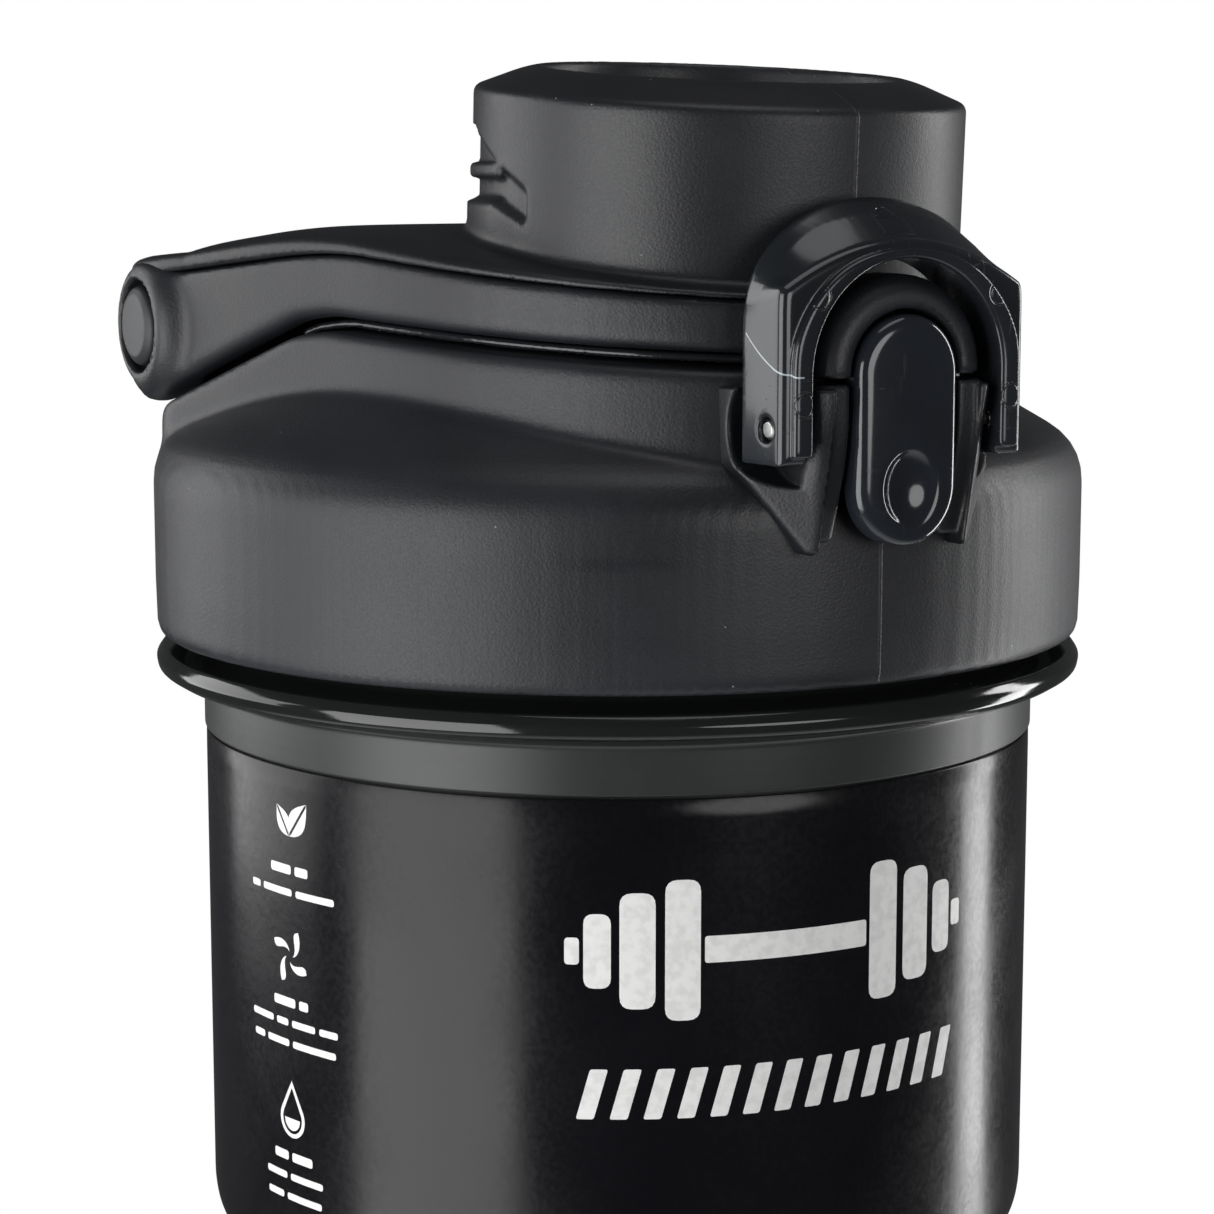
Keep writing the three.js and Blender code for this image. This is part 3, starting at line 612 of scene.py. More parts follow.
class Nodes:
    """A Principled material and short ways to add nodes to it."""

    def __init__(self, name, colour, rough, **sockets):
        self.material = bpy.data.materials.new(name)
        self.material.use_nodes = True
        self.tree = self.material.node_tree
        self.shader = self.tree.nodes["Principled BSDF"]
        set_inputs(self.shader, Base_Color=(*colour, 1), Roughness=rough, **sockets)
        self.place = self.add("ShaderNodeTexCoord").outputs["Object"]

    def add(self, kind, **fields):
        node = self.tree.nodes.new(kind)
        for key, value in fields.items():
            setattr(node, key, value)
        return node

    def link(self, a, b):
        self.tree.links.new(a, b)

    def feed(self, socket, value):
        if isinstance(value, bpy.types.NodeSocket):
            self.link(value, socket)
        else:
            socket.default_value = value

    def math(self, what, *values):
        node = self.add("ShaderNodeMath", operation=what)
        for socket, value in zip(node.inputs, values):
            self.feed(socket, value)
        return node.outputs[0]

    def times(self, a, b):
        return self.math("MULTIPLY", a, b)

    def plus(self, a, b):
        return self.math("ADD", a, b)

    def minus(self, a, b):
        return self.math("SUBTRACT", a, b)

    def scaled(self, sx, sy, sz):
        """Object coordinates, stretched along each axis."""
        node = self.add("ShaderNodeVectorMath", operation="MULTIPLY")
        self.link(self.place, node.inputs[0])
        node.inputs[1].default_value = (sx, sy, sz)
        return node.outputs[0]

    def split(self, vector):
        node = self.add("ShaderNodeSeparateXYZ")
        self.link(vector, node.inputs[0])
        return [node.outputs[k] for k in "XYZ"]

    def noise(self, scale, detail=3.0, rough=0.55, stretch=(1, 1, 1)):
        node = self.add("ShaderNodeTexNoise")
        self.link(self.scaled(*stretch), node.inputs["Vector"])
        set_inputs(node, Scale=scale, Detail=detail, Roughness=rough)
        return node.outputs["Fac"]

    def cells(self, scale):
        """A Voronoi node: its distance is the one to the middle of the nearest cell."""
        node = self.add("ShaderNodeTexVoronoi")
        self.link(self.place, node.inputs["Vector"])
        set_inputs(node, Scale=scale)
        return node.outputs

    def ramp(self, value, low, high, a=0.0, b=1.0):
        """Goes smoothly from a at low to b at high."""
        node = self.add("ShaderNodeMapRange", interpolation_type="SMOOTHSTEP")
        self.feed(node.inputs["Value"], value)
        set_inputs(node, From_Min=low, From_Max=high, To_Min=a, To_Max=b)
        return node.outputs["Result"]

    def mix(self, factor, a, b):
        node = self.add("ShaderNodeMix", data_type="RGBA")
        self.feed(node.inputs["Factor"], factor)
        for key, v in (("A", a), ("B", b)):
            socket = [s for s in node.inputs if s.name == key and s.type == "RGBA"][0]
            self.feed(socket, v if isinstance(v, bpy.types.NodeSocket) else (*v, 1))
        return [s for s in node.outputs if s.type == "RGBA"][0]

    def colour(self, socket):
        self.link(socket, self.shader.inputs["Base Color"])

    def roughness(self, socket):
        self.link(socket, self.shader.inputs["Roughness"])

    def bump(self, *layers):
        """Layers of (height socket, distance in mm, strength), from coarse to fine."""
        last = None
        for height, depth, strength in layers:
            node = self.add("ShaderNodeBump")
            set_inputs(node, Distance=depth * MM, Strength=strength)
            self.link(height, node.inputs["Height"])
            if last:
                self.link(last, node.inputs["Normal"])
            last = node.outputs["Normal"]
        self.link(last, self.shader.inputs["Normal"])

    def specks(self, scale, size, share):
        """Sparse dust: 1 in a few tiny spots, elsewhere 0."""
        cells = self.cells(scale)
        near = self.ramp(cells["Distance"], size, size * 0.5)
        split = self.add("ShaderNodeSeparateColor")
        self.link(cells["Color"], split.inputs[0])
        return self.times(near, self.math("LESS_THAN", split.outputs[0], share))


DUST = (0.35, 0.36, 0.37)


def soft_touch(name, seam_line=False):
    """Matt rubbery plastic: leather grain, rubbed patches, dust and a little edge wear."""
    base = (0.0076, 0.0085, 0.0112)
    n = Nodes(name, base, 0.45, Specular_IOR_Level=0.5)
    cloud = n.noise(38, 4)
    rub = n.noise(14, 5, 0.6, (1, 1, 9))
    fine = n.noise(4600, 2.5, 0.6)
    leather = n.cells(3300)["Distance"]
    dust = n.specks(260, 0.03, 0.30)
    lint = n.specks(620, 0.06, 0.06)
    pale = tuple(c * 1.45 for c in base)
    dark = tuple(c * 0.82 for c in base)
    colour = n.mix(n.ramp(cloud, 0.35, 0.68), dark, pale)
    edge = n.add("ShaderNodeNewGeometry").outputs["Pointiness"]
    worn = n.times(n.ramp(edge, 0.512, 0.56), n.ramp(cloud, 0.42, 0.62))
    colour = n.mix(n.times(worn, 0.30), colour, (0.060, 0.063, 0.070))
    colour = n.mix(n.times(n.math("MAXIMUM", dust, lint), 0.55), colour, DUST)
    n.colour(colour)
    scuff = n.ramp(rub, 0.60, 0.74)
    rough = n.plus(n.ramp(cloud, 0.3, 0.7, 0.41, 0.49), n.times(scuff, -0.07))
    rough = n.minus(rough, n.times(worn, 0.08))
    n.roughness(n.plus(rough, n.ramp(fine, 0.3, 0.7, -0.04, 0.04)))
    layers = [(cloud, 0.10, 0.05), (leather, 0.024, 0.5), (fine, 0.022, 0.7)]
    if seam_line:
        x, y, _ = n.split(n.place)
        line = n.ramp(n.math("ABSOLUTE", y), 0.00024, 0.00004)
        line = n.times(line, n.math("GREATER_THAN", x, 0.03))
        layers.insert(1, (line, 0.05, 0.9))
    n.bump(*layers)
    return n.material


def lock_marks(n):
    """Height of the pads and padlock sign moulded in the lock, and the mask of one pale scratch."""
    x, y, z = n.split(n.scaled(1 / MM, 1 / MM, 1 / MM))
    side = n.math("ABSOLUTE", y)

    def away(a, a0, b, b0):
        da, db = n.minus(a, a0), n.minus(b, b0)
        return n.math("SQRT", n.plus(n.times(da, da), n.times(db, db)))

    def line(distance, half):
        return n.ramp(n.math("ABSOLUTE", distance), half * 1.35, half * 0.65)

    near = n.math("MINIMUM", away(side, 9.9, z, LABEL_TOP + 46.9),
                  away(side, 11.35, z, LABEL_TOP + 37.4))
    pad = n.ramp(near, 1.02, 0.82, 0.0, 0.6)
    rim = line(n.minus(near, 1.12), 0.10)
    pads = n.times(n.minus(pad, rim), n.math("GREATER_THAN", x, 52.7))
    # the padlock sign: outline of its body, its loop, and a rule before it
    depth = n.minus(n.math("ABSOLUTE", n.minus(x, 49.9)), 0.95)
    body = n.math("MAXIMUM", n.minus(side, 1.55), depth)
    loop = line(n.minus(away(y, 0.0, x, 48.95), 1.0), 0.13)
    loop = n.times(loop, n.math("LESS_THAN", x, 48.95))
    rule = n.times(line(n.minus(x, 51.35), 0.12), n.math("LESS_THAN", side, 1.7))
    sign = n.math("MAXIMUM", n.math("MAXIMUM", line(body, 0.13), loop), rule)
    sign = n.times(sign, n.math("GREATER_THAN", z, LABEL_TOP + 49))
    # the scratch falls along a shallow curve over the loop's left side
    run = n.minus(x, 47.0)
    bend = n.times(n.times(run, run), 0.06)
    course = n.plus(n.times(run, -0.95), bend)
    score = line(n.minus(n.minus(z, LABEL_TOP + 43.4), course), 0.075)
    score = n.times(score, n.math("LESS_THAN", y, -11.5))
    score = n.times(score, n.math("GREATER_THAN", x, 46.8))
    return n.minus(pads, sign), score


def gloss(name, base, rough=0.14, scratch=0.5, peel=0.4, coat=0.0, marks=False):
    """Moulded gloss plastic: slight waviness, fine scratches and a little dust."""
    n = Nodes(name, base, rough, Specular_IOR_Level=0.5, Coat_Weight=coat, Coat_Roughness=0.05)
    cloud = n.noise(55, 3)
    wave = n.noise(240, 2)
    hair_a = n.noise(60, 3, 0.7, (1, 28, 2))
    hair_b = n.noise(75, 3, 0.7, (14, 2, 20))
    hair = n.math("MAXIMUM", n.ramp(hair_a, 0.635, 0.66), n.ramp(hair_b, 0.645, 0.67))
    hair = n.times(hair, n.ramp(cloud, 0.42, 0.58))
    pale = tuple(min(c * 1.5 + 0.002, 1) for c in base)
    colour = n.mix(n.ramp(cloud, 0.3, 0.7), base, pale)
    colour = n.mix(n.times(n.specks(330, 0.025, 0.2), 0.5), colour, DUST)
    layers = [(wave, 0.06, 0.16 * peel), (cloud, 0.10, 0.12 * peel), (hair, 0.006, 0.5 * scratch)]
    if marks:
        relief, score = lock_marks(n)
        colour = n.mix(n.times(score, 0.9), colour, (0.45, 0.52, 0.55))
        layers.append((relief, 0.10, 1.0))
    n.colour(colour)
    mist = n.ramp(n.noise(22, 4, 0.6), 0.45, 0.75, 0.0, 0.10)
    n.roughness(n.plus(n.plus(mist, rough), n.times(hair, 0.22 * scratch)))
    n.bump(*layers)
    return n.material


def smoke_plastic():
    """Dark smoke plastic of the cup: satin on the neck band, glossy elsewhere."""
    n = Nodes("smoke_plastic", (0.010, 0.0115, 0.0108), 0.2, Specular_IOR_Level=0.5)
    cloud = n.noise(30, 4)
    z = n.split(n.place)[2]
    band = n.times(n.ramp(z, 0.1655, 0.1661), n.ramp(z, 0.1712, 0.1706))
    fine = n.noise(1900, 2)
    colour = n.mix(n.ramp(cloud, 0.35, 0.7), (0.0085, 0.0100, 0.0092), (0.0135, 0.0155, 0.0143))
    colour = n.mix(band, colour, (0.0175, 0.0205, 0.0188))
    n.colour(n.mix(n.times(n.specks(300, 0.02, 0.15), 0.4), colour, (0.3, 0.3, 0.3)))
    wear = n.ramp(n.noise(45, 5, 0.7, (1, 1, 0.25)), 0.5, 0.8, 0.0, 0.10)
    rough = n.plus(n.times(band, 0.30), n.ramp(z, 0.095, 0.1, 0.13, 0.09))
    n.roughness(n.plus(n.plus(rough, wear), n.ramp(fine, 0.3, 0.7, -0.01, 0.02)))
    rings = n.math("SINE", n.times(z, 5200.0))
    n.bump((cloud, 0.15, 0.08), (rings, 0.004, 0.25), (fine, 0.01, 0.3))
    return n.material


def printed_film():
    """Glossy black film with an orange-peel skin and a faint purple cast."""
    n = Nodes("printed_film", (0.0040, 0.0036, 0.0050), 0.22, Specular_IOR_Level=0.26)
    cloud = n.noise(24, 3)
    peel = n.noise(620, 2, 0.5)
    fine = n.noise(1700, 2, 0.5)
    n.colour(n.mix(n.ramp(cloud, 0.35, 0.7), (0.0034, 0.0030, 0.0044), (0.0056, 0.0050, 0.0068)))
    smear = n.ramp(n.noise(70, 4), 0.35, 0.75, 0.19, 0.26)
    n.roughness(n.plus(smear, n.ramp(fine, 0.3, 0.7, -0.02, 0.03)))
    n.bump((cloud, 0.25, 0.06), (peel, 0.030, 0.34), (fine, 0.010, 0.30))
    return n.material


def ink():
    n = Nodes("white_ink", (0.80, 0.80, 0.79), 0.34, Specular_IOR_Level=0.4)
    spots = n.noise(900, 3)
    n.colour(n.mix(n.ramp(spots, 0.35, 0.6), (0.74, 0.74, 0.73), (0.84, 0.84, 0.83)))
    n.roughness(n.ramp(spots, 0.3, 0.7, 0.28, 0.42))
    n.bump((n.noise(620, 2), 0.03, 0.3), (spots, 0.01, 0.4))
    return n.material


def silicone(name, base):
    n = Nodes(name, base, 0.62, Specular_IOR_Level=0.35, Sheen_Weight=0.15)
    cloud = n.noise(60, 3)
    fine = n.noise(1500, 3)
    n.colour(n.mix(n.ramp(cloud, 0.3, 0.7), base, tuple(c * 1.35 for c in base)))
    n.roughness(n.ramp(fine, 0.3, 0.7, 0.55, 0.72))
    n.bump((cloud, 0.1, 0.15), (fine, 0.02, 0.5))
    return n.material


def steel(name, rough=0.22):
    n = Nodes(name, (0.62, 0.62, 0.61), rough, Metallic=1.0)
    cloud = n.noise(300, 3)
    drawn = n.noise(500, 2, 0.6, (1, 0.06, 1))
    n.colour(n.mix(n.ramp(cloud, 0.3, 0.7), (0.56, 0.56, 0.55), (0.68, 0.68, 0.67)))
    n.roughness(n.ramp(drawn, 0.3, 0.7, rough - 0.06, rough + 0.12))
    n.bump((drawn, 0.01, 0.5))
    return n.material


def pale_plastic(name, base):
    """Satin polypropylene of the mixing ball."""
    n = Nodes(name, base, 0.36, Specular_IOR_Level=0.45)
    cloud = n.noise(90, 4)
    fine = n.noise(1600, 3)
    n.colour(n.mix(n.ramp(cloud, 0.3, 0.75), tuple(c * 0.9 for c in base), base))
    n.roughness(n.ramp(n.noise(140, 4), 0.3, 0.7, 0.28, 0.44))
    n.bump((cloud, 0.10, 0.15), (fine, 0.015, 0.45))
    return n.material


MATERIALS = {
    "smoke_plastic": smoke_plastic(),
    "printed_film": printed_film(),
    "soft_touch": soft_touch("soft_touch_lid", seam_line=True),
    "soft_touch_frame": soft_touch("soft_touch_frame"),
    "soft_touch_tower": soft_touch("soft_touch_tower", seam_line=True),
    "liner_plastic": gloss("liner_plastic", (0.020, 0.022, 0.021), 0.22),
    "silicone": silicone("gasket_silicone", (0.045, 0.048, 0.050)),
    "plug_silicone": silicone("plug_silicone", (0.050, 0.053, 0.056)),
    "spout_gloss": gloss("spout_gloss", (0.0095, 0.0105, 0.0125), 0.12),
    "pin_plastic": gloss("pin_plastic", (0.010, 0.011, 0.013), 0.48, 0.3),
    "bail_gloss": gloss("bail_gloss", (0.0105, 0.0125, 0.0155), 0.17, 1.0, 0.6, coat=0.15, marks=True),
    "button_gloss": gloss("button_gloss", (0.0100, 0.0120, 0.0160), 0.11, 0.6, 0.5, coat=0.3),
    "pin_steel": steel("pin_steel"),
    "spring_steel": steel("spring_steel", 0.28),
    "ball_plastic": pale_plastic("ball_plastic", (0.56, 0.57, 0.55)),
    "paddle_plastic": pale_plastic("paddle_plastic", (0.50, 0.52, 0.52)),
}
INK = ink()


def finish_piece(piece, body, slot, *nodes, material=None):
    """Gives a piece the material listed under slot, or the one given, attaches it to its body, and hides
    the CAD nodes that it stands for.
    """
    piece.data.materials.clear()
    piece.data.materials.append(material or MATERIALS[slot])
    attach(piece, body)
    if nodes:
        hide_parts(*nodes)
    return piece


# ---- cup and printed sleeve
def drum(z):
    heights = [8, 98, 105, 108, 110.2, 112, 113.8, 116, 200]
    return np.interp(z, heights, [36.3, 38.9, 39.1, 39.6, 40.6, 41.9, 43.1, DRUM_R, DRUM_R])


def drum_soft(z):
    """The drum's side with its step below the label drawn as one smooth curve."""
    return sum(drum(z + s) for s in np.linspace(-1.6, 1.6, 9)) / 9


def cup_profile():
    """Section of the cup: base, drum under the sleeve, neck band, flange, neck, then the inside down."""
    t = LABEL_TOP
    under = [(float(drum_soft(z)) - 0.7, z) for z in np.linspace(LABEL_BOTTOM + 1, t - 2, 40)]
    outside = [(0, 1.2), (26, 1.2), (27.5, 0.0, 0.8), (31.2, 0.0, 1.6), (34.9, 1.6, 3.0), (36.3, 6.5, 4),
               (37.6, 55), (38.85, LABEL_BOTTOM - 0.4, 0.3), (38.3, LABEL_BOTTOM - 0.1, 0.3)]
    outside += under
    outside += [(43.05, t + 0.3, 0.2), (43.9, t + 0.3, 0.25), (43.9, t + 4.9, 1.0), (44.7, t + 5.7, 1.0),
                (47.3, t + 5.9, 0.8), (48.6, t + 6.7, 0.8), (48.8, t + 7.8, 0.8), (48.1, t + 8.8, 0.8),
                (46.0, t + 9.1, 1), (44.2, t + 9.5, 1.0), (44.2, 191.6, 0.5), (43.5, 192, 0.3),
                (42.0, 192, 0.3)]
    inside = [(41.6, 191.2), (41.3, 118, 4), (40.4, 113, 3), (38.2, 108.6, 3), (37.1, 104, 4), (36.8, 98),
              (34.4, 8, 3), (33, 4.2, 2), (30, 2.6, 3), (0, 2.6)]
    return rounded(outside + inside)


cup = edged(turned("cup_shell", cup_profile(), 224))
finish_piece(cup, "cup", "smoke_plastic", "cup_body")


def thread(name, radius, out, low, high, phase, inward=False):
    """A right-handed ridge on a bore or a neck, running out at both ends."""
    turns = (high - low) / THREAD_PITCH
    steps = int(turns * 96)
    run_out = 14
    path = []
    for i in range(steps + 1):
        a = 2 * math.pi * turns * i / steps + phase
        fade = min(1, i / run_out, (steps - i) / run_out)
        outward = np.array([math.cos(a), math.sin(a), 0]) * (-1 if inward else 1)
        rise = THREAD_PITCH * turns * i / steps
        point = np.array([radius * math.cos(a), radius * math.sin(a), low + rise])
        path.append(((point, outward, np.array([0, 0, 1.0])), 0.12 + 0.88 * fade))
    section = [(-0.35, -1.15), (0.0, -1.1), (out * 0.7, -0.62), (out, -0.35),
               (out, 0.35), (out * 0.7, 0.62), (0.0, 1.1), (-0.35, 1.15)]
    if inward:
        section = section[::-1]
    return edged(swept(name, path, section), 40)


finish_piece(thread("neck_thread", 44.15, 0.9, 178.6, 189.4, 0.3), "cup", "smoke_plastic")

SLEEVE_WALL = 0.4
z_rows = np.concatenate([np.linspace(LABEL_BOTTOM, LABEL_BOTTOM + 18, 44),
                         np.linspace(LABEL_BOTTOM + 20, LABEL_TOP, 24)])
sleeve_side = [(float(drum_soft(z)), z) for z in z_rows]
sleeve_profile = sleeve_side[:-1] + [(DRUM_R - 0.02, LABEL_TOP - 0.12), (DRUM_R - 0.1, LABEL_TOP)]
sleeve_profile += [(r - SLEEVE_WALL, z) for r, z in reversed(sleeve_side)]
sleeve = edged(turned("printed_sleeve", sleeve_profile, 224), 50)
finish_piece(sleeve, "cup", "printed_film", "label_sleeve")


# ---- printed marks: plain signs, no lettering
def pill(cx, cz, w, h, r, slant=0.0):
    """A slanted rectangle with rounded corners about (cx, cz)."""
    corners = [(-w / 2, -h / 2, r), (w / 2, -h / 2, r), (w / 2, h / 2, r), (-w / 2, h / 2, r)]
    return [(cx + x + slant * y, cz + y) for x, y in rounded(corners, arc=4)]


def dumbbell(cx, cz):
    shapes = [pill(cx, cz, 17.0, 2.6, 0.3)]
    for s in (-1, 1):
        shapes += [pill(cx + s * 10.6, cz, 3.4, 13.6, 1.2), pill(cx + s * 14.9, cz, 3.4, 11.2, 1.2),
                   pill(cx + s * 18.7, cz, 2.6, 7.2, 1.0), pill(cx + s * 21.1, cz, 1.4, 2.6, 0.4)]
    return shapes


def leaf(cx, cz):
    """Two leaves that lean apart, each split by its middle rib."""
    rib_half = 0.05
    shapes = []
    for lean, size in ((38, 3.0), (-34, 2.4)):
        t = np.linspace(0, 1, 12)
        half = 0.42 * np.sin(np.pi * t ** 0.85)
        ca, sa = math.cos(math.radians(90 - lean)), math.sin(math.radians(90 - lean))
        for side in (1, -1):
            rim = [(u * size * 1.5, side * (v * size)) for u, v in zip(t, half)]
            rib = [(u * size * 1.5, side * rib_half * size) for u in (t[-2], t[1])]
            shapes.append([(cx + a * ca - b * sa, cz - 2.0 + a * sa + b * ca) for a, b in rim + rib])
    return shapes


def fan(cx, cz):
    shapes = []
    for k in range(4):
        outline = []
        for t in np.linspace(0, 1, 9):
            a = math.radians(90 * k + 62 * t)
            outline.append((0.5 + 2.5 * t, a))
        for t in np.linspace(1, 0, 9)[1:]:
            a = math.radians(90 * k + 62 * t + 34 * math.sin(math.pi * t) ** 0.8)
            outline.append((0.5 + 2.5 * t, a))
        shapes.append([(cx + r * math.cos(a), cz + r * math.sin(a)) for r, a in outline])
    return shapes


def drop(cx, cz):
    """The outline of a drop, half full."""
    def tear(size, lift=0.0):
        made = []
        for a in np.linspace(-215, 35, 22):
            made.append((cx + size * math.cos(math.radians(a)),
                         cz - 0.8 + lift + size * math.sin(math.radians(a))))
        made.append((cx, cz + lift + size * 1.55))
        return made

    outer, inner = tear(2.0), tear(1.55, -0.02)
    shapes = [[outer[i], outer[(i + 1) % len(outer)], inner[(i + 1) % len(inner)], inner[i]]
              for i in range(len(outer))]
    low = [p for p in tear(1.25) if p[1] < cz - 0.75]
    return shapes + [low]


def dashes(cx, cz, widths, height=0.72):
    """A row of short bars of the given widths, centred on (cx, cz)."""
    gap = 0.6
    x = cx - (sum(widths) + gap * (len(widths) - 1)) / 2
    made = []
    for w in widths:
        made.append(pill(x + w / 2, cz, w, height, 0.3))
        x += w + gap
    return made


def print_marks(name, shapes, middle):
    """Flat (s, z) outlines laid on the drum, about a line that is middle degrees round from the lock."""
    bm = bmesh.new()
    for outline in shapes:
        bm.faces.new([bm.verts.new((s, 0, z)) for s, z in outline])
    bmesh.ops.recalc_face_normals(bm, faces=bm.faces)
    bmesh.ops.triangulate(bm, faces=[f for f in bm.faces if len(f.verts) > 4])
    reach = max(abs(v.co.x) for v in bm.verts)
    for s in np.arange(-math.ceil(reach), math.ceil(reach) + 1, 1.0):
        bmesh.ops.bisect_plane(bm, geom=bm.verts[:] + bm.edges[:] + bm.faces[:], plane_co=(s, 0, 0),
                               plane_no=(1, 0, 0), dist=1e-5)
    radius = DRUM_R + 0.02
    for v in bm.verts:
        a = math.radians(middle) + v.co.x / radius
        v.co = Vector((radius * math.cos(a), radius * math.sin(a), v.co.z)) * MM
    for f in bm.faces:
        f.normal_update()
        c = f.calc_center_median()
        if f.normal.x * c.x + f.normal.y * c.y < 0:
            f.normal_flip()
        f.smooth = True
    mesh = bpy.data.meshes.new(name)
    bm.to_mesh(mesh)
    bm.free()
    piece = bpy.data.objects.new(name, mesh)
    bpy.context.scene.collection.objects.link(piece)
    return finish_piece(piece, "cup", "printed_film", material=INK)


top = LABEL_TOP
HEADING = 0.95  # height of the bars that stand for a heading
front_marks = dumbbell(0, top - 14.5)
front_marks += [pill(-19.2 + 3.2 * k, top - 28.4, 1.7, 4.9, 0.25, 0.28) for k in range(13)]
front_marks += dashes(0, top - 46.5, [5.0, 2.2, 3.4], 1.5)
print_marks("print_front", front_marks, -8.0)
side_marks = leaf(0.2, top - 4.7) + fan(0, top - 18.9) + drop(0, top - 34.7)
for below, widths, height in (
    (10.1, [3.4, 2.0], HEADING), (12.4, [1.6, 5.0, 5.6], 0.72),
    (23.6, [3.6, 1.4], HEADING), (25.7, [4.0, 2.0, 3.6, 2.6], 0.72), (27.8, [2.0, 3.8, 6.4], 0.72),
    (39.5, [2.4, 3.2], HEADING), (41.6, [3.6, 5.0], 0.72), (43.7, [2.8, 5.4], 0.72),
):
    side_marks += dashes(0, top - below, widths, height)
print_marks("print_side", side_marks, -77.6)

# ---- lid, its liner, seal and spout
lid = grown("lid_cover", lid_field, (-50, -50, top + 9.5), (54, 50, top + 48.5), 0.6)
finish_piece(lid, "lid", "soft_touch", "lid_shell")
for ear_name, y0, y1 in (("left", -15, -5), ("right", 5, 15)):
    low, high = (41.5, y0, top + 23.6), (53, y1, top + 39.6)
    finish_piece(grown(f"latch_ear_{ear_name}", ears_field, low, high, 0.26), "lid", "soft_touch")

liner = rounded([(45.5, top + 12.4, 0.4), (46.9, top + 11.9, 0.2), (46.9, 193.9), (45.5, 193.9, 0.3)])
liner_ring = edged(turned("liner_ring", liner, 160))
finish_piece(liner_ring, "lid_carrier", "liner_plastic", "lid_thread_liner")
liner_thread = thread("liner_thread", 45.6, 0.8, 178.8, 190.8, 0.3 + math.pi, inward=True)
finish_piece(liner_thread, "lid_carrier", "liner_plastic")

seal = rounded([(40.9, 192.4, 0.2), (41.2, 192.3), (44.6, 192.3, 0.3), (44.9, 192.6, 0.3),
                (44.9, 193.6, 0.3), (43.4, 193.9, 0.3), (42.9, 193.6, 0.3), (42.4, 193.9, 0.3),
                (41.2, 193.9, 0.3), (40.9, 193.7, 0.2)])
finish_piece(edged(turned("sealing_ring", seal, 160), 45), "lid", "silicone", "lid_gasket")

spout = grown("spout", spout_field, (-4, -38, top + 30), (48, 38, top + 56), 0.5)
finish_piece(spout, "lid", "spout_gloss", "drinking_spout")

# ---- flip cap and its plug
tower = grown("cap_tower", tower_field, (-33, -46, top + 45), (49, 46, top + 70), 0.42)
finish_piece(tower, "flip_cap", "soft_touch_tower", "flip_cap_tower")
band = grown("cap_band", frame_field, (-33, -45, top + 32), (54, 45, top + 51), 0.5)
finish_piece(band, "flip_cap", "soft_touch_frame", "flip_cap_frame")

plug = rounded([(0, top + 52.0), (5, top + 52.0, 1), (5.8, top + 51.6, 0.5), (10.2, top + 51.6, 0.8),
                (12, top + 52.4, 0.5), (12.6, top + 53.3, 0.3), (12.9, top + 53.4, 0.3),
                (13.4, top + 55, 0.4), (16.4, top + 55.2, 0.2), (16.9, top + 55.8, 0.3),
                (16.9, top + 56.9, 0.3), (0, top + 56.9)])
mouth_plug = edged(turned("mouth_plug", plug, 112, (TOWER_X, 0)))
finish_piece(mouth_plug, "flip_cap", "plug_silicone", "spout_plug")

# ---- hinge pins, lock, button, steel pin, spring
for side_name, sign in (("left", -1), ("right", 1)):
    pin = rounded([(0, 31), (1.5, 31, 0.3), (2.0, 31.6, 0.3), (2.0, 43.3, 0.1), (4.15, 43.3, 0.2),
                   (4.15, 44.3, 0.9), (3.2, 44.85, 0.9), (0, 44.95)])
    piece = turned(f"hinge_rivet_{side_name}", [(r, h * sign) for r, h in pin], 64, PIVOT, "Y")
    finish_piece(edged(piece), "lid", "pin_plastic", f"hinge_pin_{side_name}")

bail = grown("lock_loop", bail_field, (45.4, -14.6, top + 31.2), (53.6, 14.6, top + 56.6), 0.2)
finish_piece(bail, "lock", "bail_gloss", "lock_bail")
button = grown("push_button", button_field, (47.2, -6, top + 23.4), (54, 6, top + 45.8), 0.2)
finish_piece(button, "button", "button_gloss", "release_button")

rod = rounded([(0, -13.3), (0.7, -13.3, 0.1), (0.95, -13.0, 0.1),
               (0.95, 13.0, 0.1), (0.7, 13.3, 0.1), (0, 13.3)])
finish_piece(edged(turned("steel_pin", rod, 32, LATCH, "Y")), "lid", "pin_steel", "latch_pin")

COIL_TURNS, COIL_STEPS = 4.5, 240
COIL_START, COIL_LENGTH = 45.6, 5.6
COIL_R, WIRE_R = 1.15, 0.25
coil = []
for i in range(COIL_STEPS + 1):
    a = 2 * math.pi * COIL_TURNS * i / COIL_STEPS
    outward = np.array([0, math.cos(a), math.sin(a)])
    middle = np.array([COIL_START + COIL_LENGTH * i / COIL_STEPS, 0, LATCH[1] - SPRING_DROP])
    coil.append(((middle + COIL_R * outward, outward, np.array([1.0, 0, 0])), 1.0))
wire = [(WIRE_R * math.cos(t), WIRE_R * math.sin(t)) for t in np.arange(10) * math.pi / 5]
finish_piece(edged(swept("coil_spring", coil, wire), 60), "lid", "spring_steel", "button_spring")

# ---- mixing ball
for half_name, sign in (("upper", 1), ("lower", -1)):
    z0, z1 = sorted((BALL_Z, BALL_Z + sign * 17.4))
    half = grown(f"ball_{half_name}", ball_field(sign), (-17.6, -17.6, z0), (17.6, 17.6, z1), 0.4)
    finish_piece(half, "mixer_ball", "ball_plastic", f"mixer_ball_{half_name}_half")
wheel = grown("paddle_wheel", paddle_field, (-14.2, -14.2, BALL_Z - 14), (14.2, 14.2, BALL_Z + 14), 0.4)
finish_piece(wheel, "paddles", "paddle_plastic", "mixer_paddle_wheel")


# ---- floor, light and camera
def blend(tree, factor, first, second, output):
    """Sends a mix of two shaders, by factor, to the output node."""
    mix = tree.nodes.new("ShaderNodeMixShader")
    tree.links.new(factor, mix.inputs["Fac"])
    tree.links.new(first.outputs[0], mix.inputs[1])
    tree.links.new(second.outputs[0], mix.inputs[2])
    tree.links.new(mix.outputs[0], tree.nodes[output].inputs["Surface"])


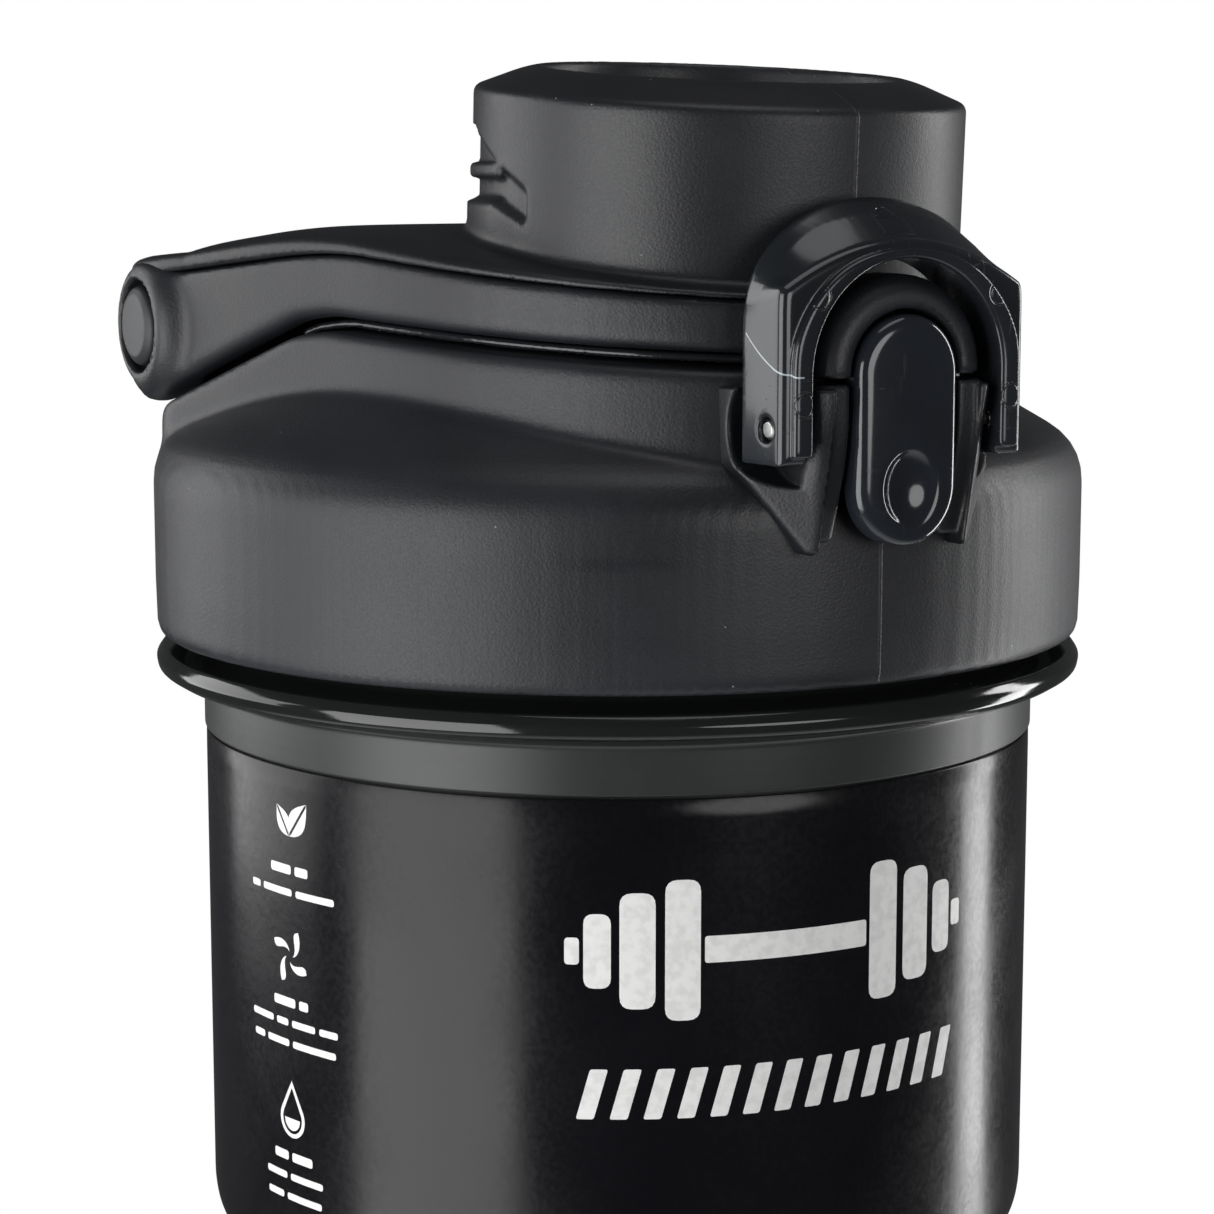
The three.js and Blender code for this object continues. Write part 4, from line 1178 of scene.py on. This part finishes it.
def floor():
    """A disc of pale paper that fades to nothing round the bottle."""
    mesh = bpy.data.meshes.new("floor")
    corners, radius = 96, 0.9
    angles = [2 * math.pi * k / corners for k in range(corners)]
    ring = [(radius * math.cos(a), radius * math.sin(a), 0) for a in angles]
    mesh.from_pydata(ring, [], [list(range(corners))])
    piece = bpy.data.objects.new("floor", mesh)
    bpy.context.scene.collection.objects.link(piece)
    material = bpy.data.materials.new("floor_paper")
    material.use_nodes = True
    tree = material.node_tree
    shader = tree.nodes["Principled BSDF"]
    set_inputs(shader, Base_Color=(0.90, 0.90, 0.90, 1), Roughness=0.9)
    set_inputs(shader, Emission_Color=(1, 1, 1, 1), Emission_Strength=0.32)
    clear = tree.nodes.new("ShaderNodeBsdfTransparent")
    where = tree.nodes.new("ShaderNodeTexCoord")
    length = tree.nodes.new("ShaderNodeVectorMath")
    length.operation = "LENGTH"
    fade = tree.nodes.new("ShaderNodeMapRange")
    fade.interpolation_type = "SMOOTHSTEP"
    set_inputs(fade, From_Min=0.09, From_Max=0.27)
    tree.links.new(where.outputs["Object"], length.inputs[0])
    tree.links.new(length.outputs["Value"], fade.inputs["Value"])
    blend(tree, fade.outputs["Result"], shader, clear, "Material Output")
    mesh.materials.append(material)


def world():
    """White behind the object, and only a faint fill in its light and reflections."""
    made = bpy.data.worlds.new("studio")
    bpy.context.scene.world = made
    made.use_nodes = True
    tree = made.node_tree
    back = tree.nodes["Background"]
    set_inputs(back, Color=(0.95, 0.97, 1.0, 1), Strength=0.06)
    page = tree.nodes.new("ShaderNodeBackground")
    set_inputs(page, Color=(1, 1, 1, 1), Strength=1.0)
    ray = tree.nodes.new("ShaderNodeLightPath")
    blend(tree, ray.outputs["Is Camera Ray"], back, page, "World Output")


def softbox(name, angle, distance, height, aim_z, width, tall, power, shape="RECTANGLE"):
    """An area light, angle degrees round from the lock, aimed at the bottle's axis; metres and watts."""
    data = bpy.data.lights.new(name, "AREA")
    data.shape = shape
    data.size, data.size_y = width, tall
    data.energy = power
    lamp = bpy.data.objects.new(name, data)
    a = math.radians(angle)
    lamp.location = (distance * math.cos(a), distance * math.sin(a), height)
    aim = Vector((0, 0, aim_z)) - lamp.location
    lamp.rotation_euler = aim.to_track_quat("-Z", "Y").to_euler()
    bpy.context.scene.collection.objects.link(lamp)


def camera():
    """The camera of the photo, fitted to the bottle's ellipses and silhouette."""
    sensor, focal, frame_width = 36.0, 3000, 1214  # the last two in the photo's pixels
    away, height = 0.317, 0.2255
    round_deg, down_deg, aside_deg = 60, 8.6, 0.2
    data = bpy.data.cameras.new("camera")
    data.sensor_width = sensor
    data.lens = sensor * focal / frame_width
    data.clip_start = 0.01
    made = bpy.data.objects.new("camera", data)
    around = math.radians(round_deg)
    made.location = (away * math.sin(around), -away * math.cos(around), height)
    made.rotation_euler = (math.radians(90 - down_deg), 0, math.radians(round_deg + aside_deg))
    bpy.context.scene.collection.objects.link(made)
    bpy.context.scene.camera = made


floor()
world()
softbox("key_left", -80, 1.0, 0.02, 0.16, 0.85, 1.05, 12.0)
softbox("far_left", -138, 1.0, 0.30, 0.19, 0.8, 0.8, 5.5)
softbox("strip_right", 84, 0.9, 0.12, 0.16, 0.20, 1.1, 6.0)
softbox("front_low", 6, 1.0, 0.29, 0.2, 0.62, 0.5, 2.6, shape="ELLIPSE")
softbox("top", 10, 0.15, 1.05, 0.2, 0.7, 0.7, 1.6, shape="ELLIPSE")
camera()
bpy.context.scene.view_settings.view_transform = "Standard"
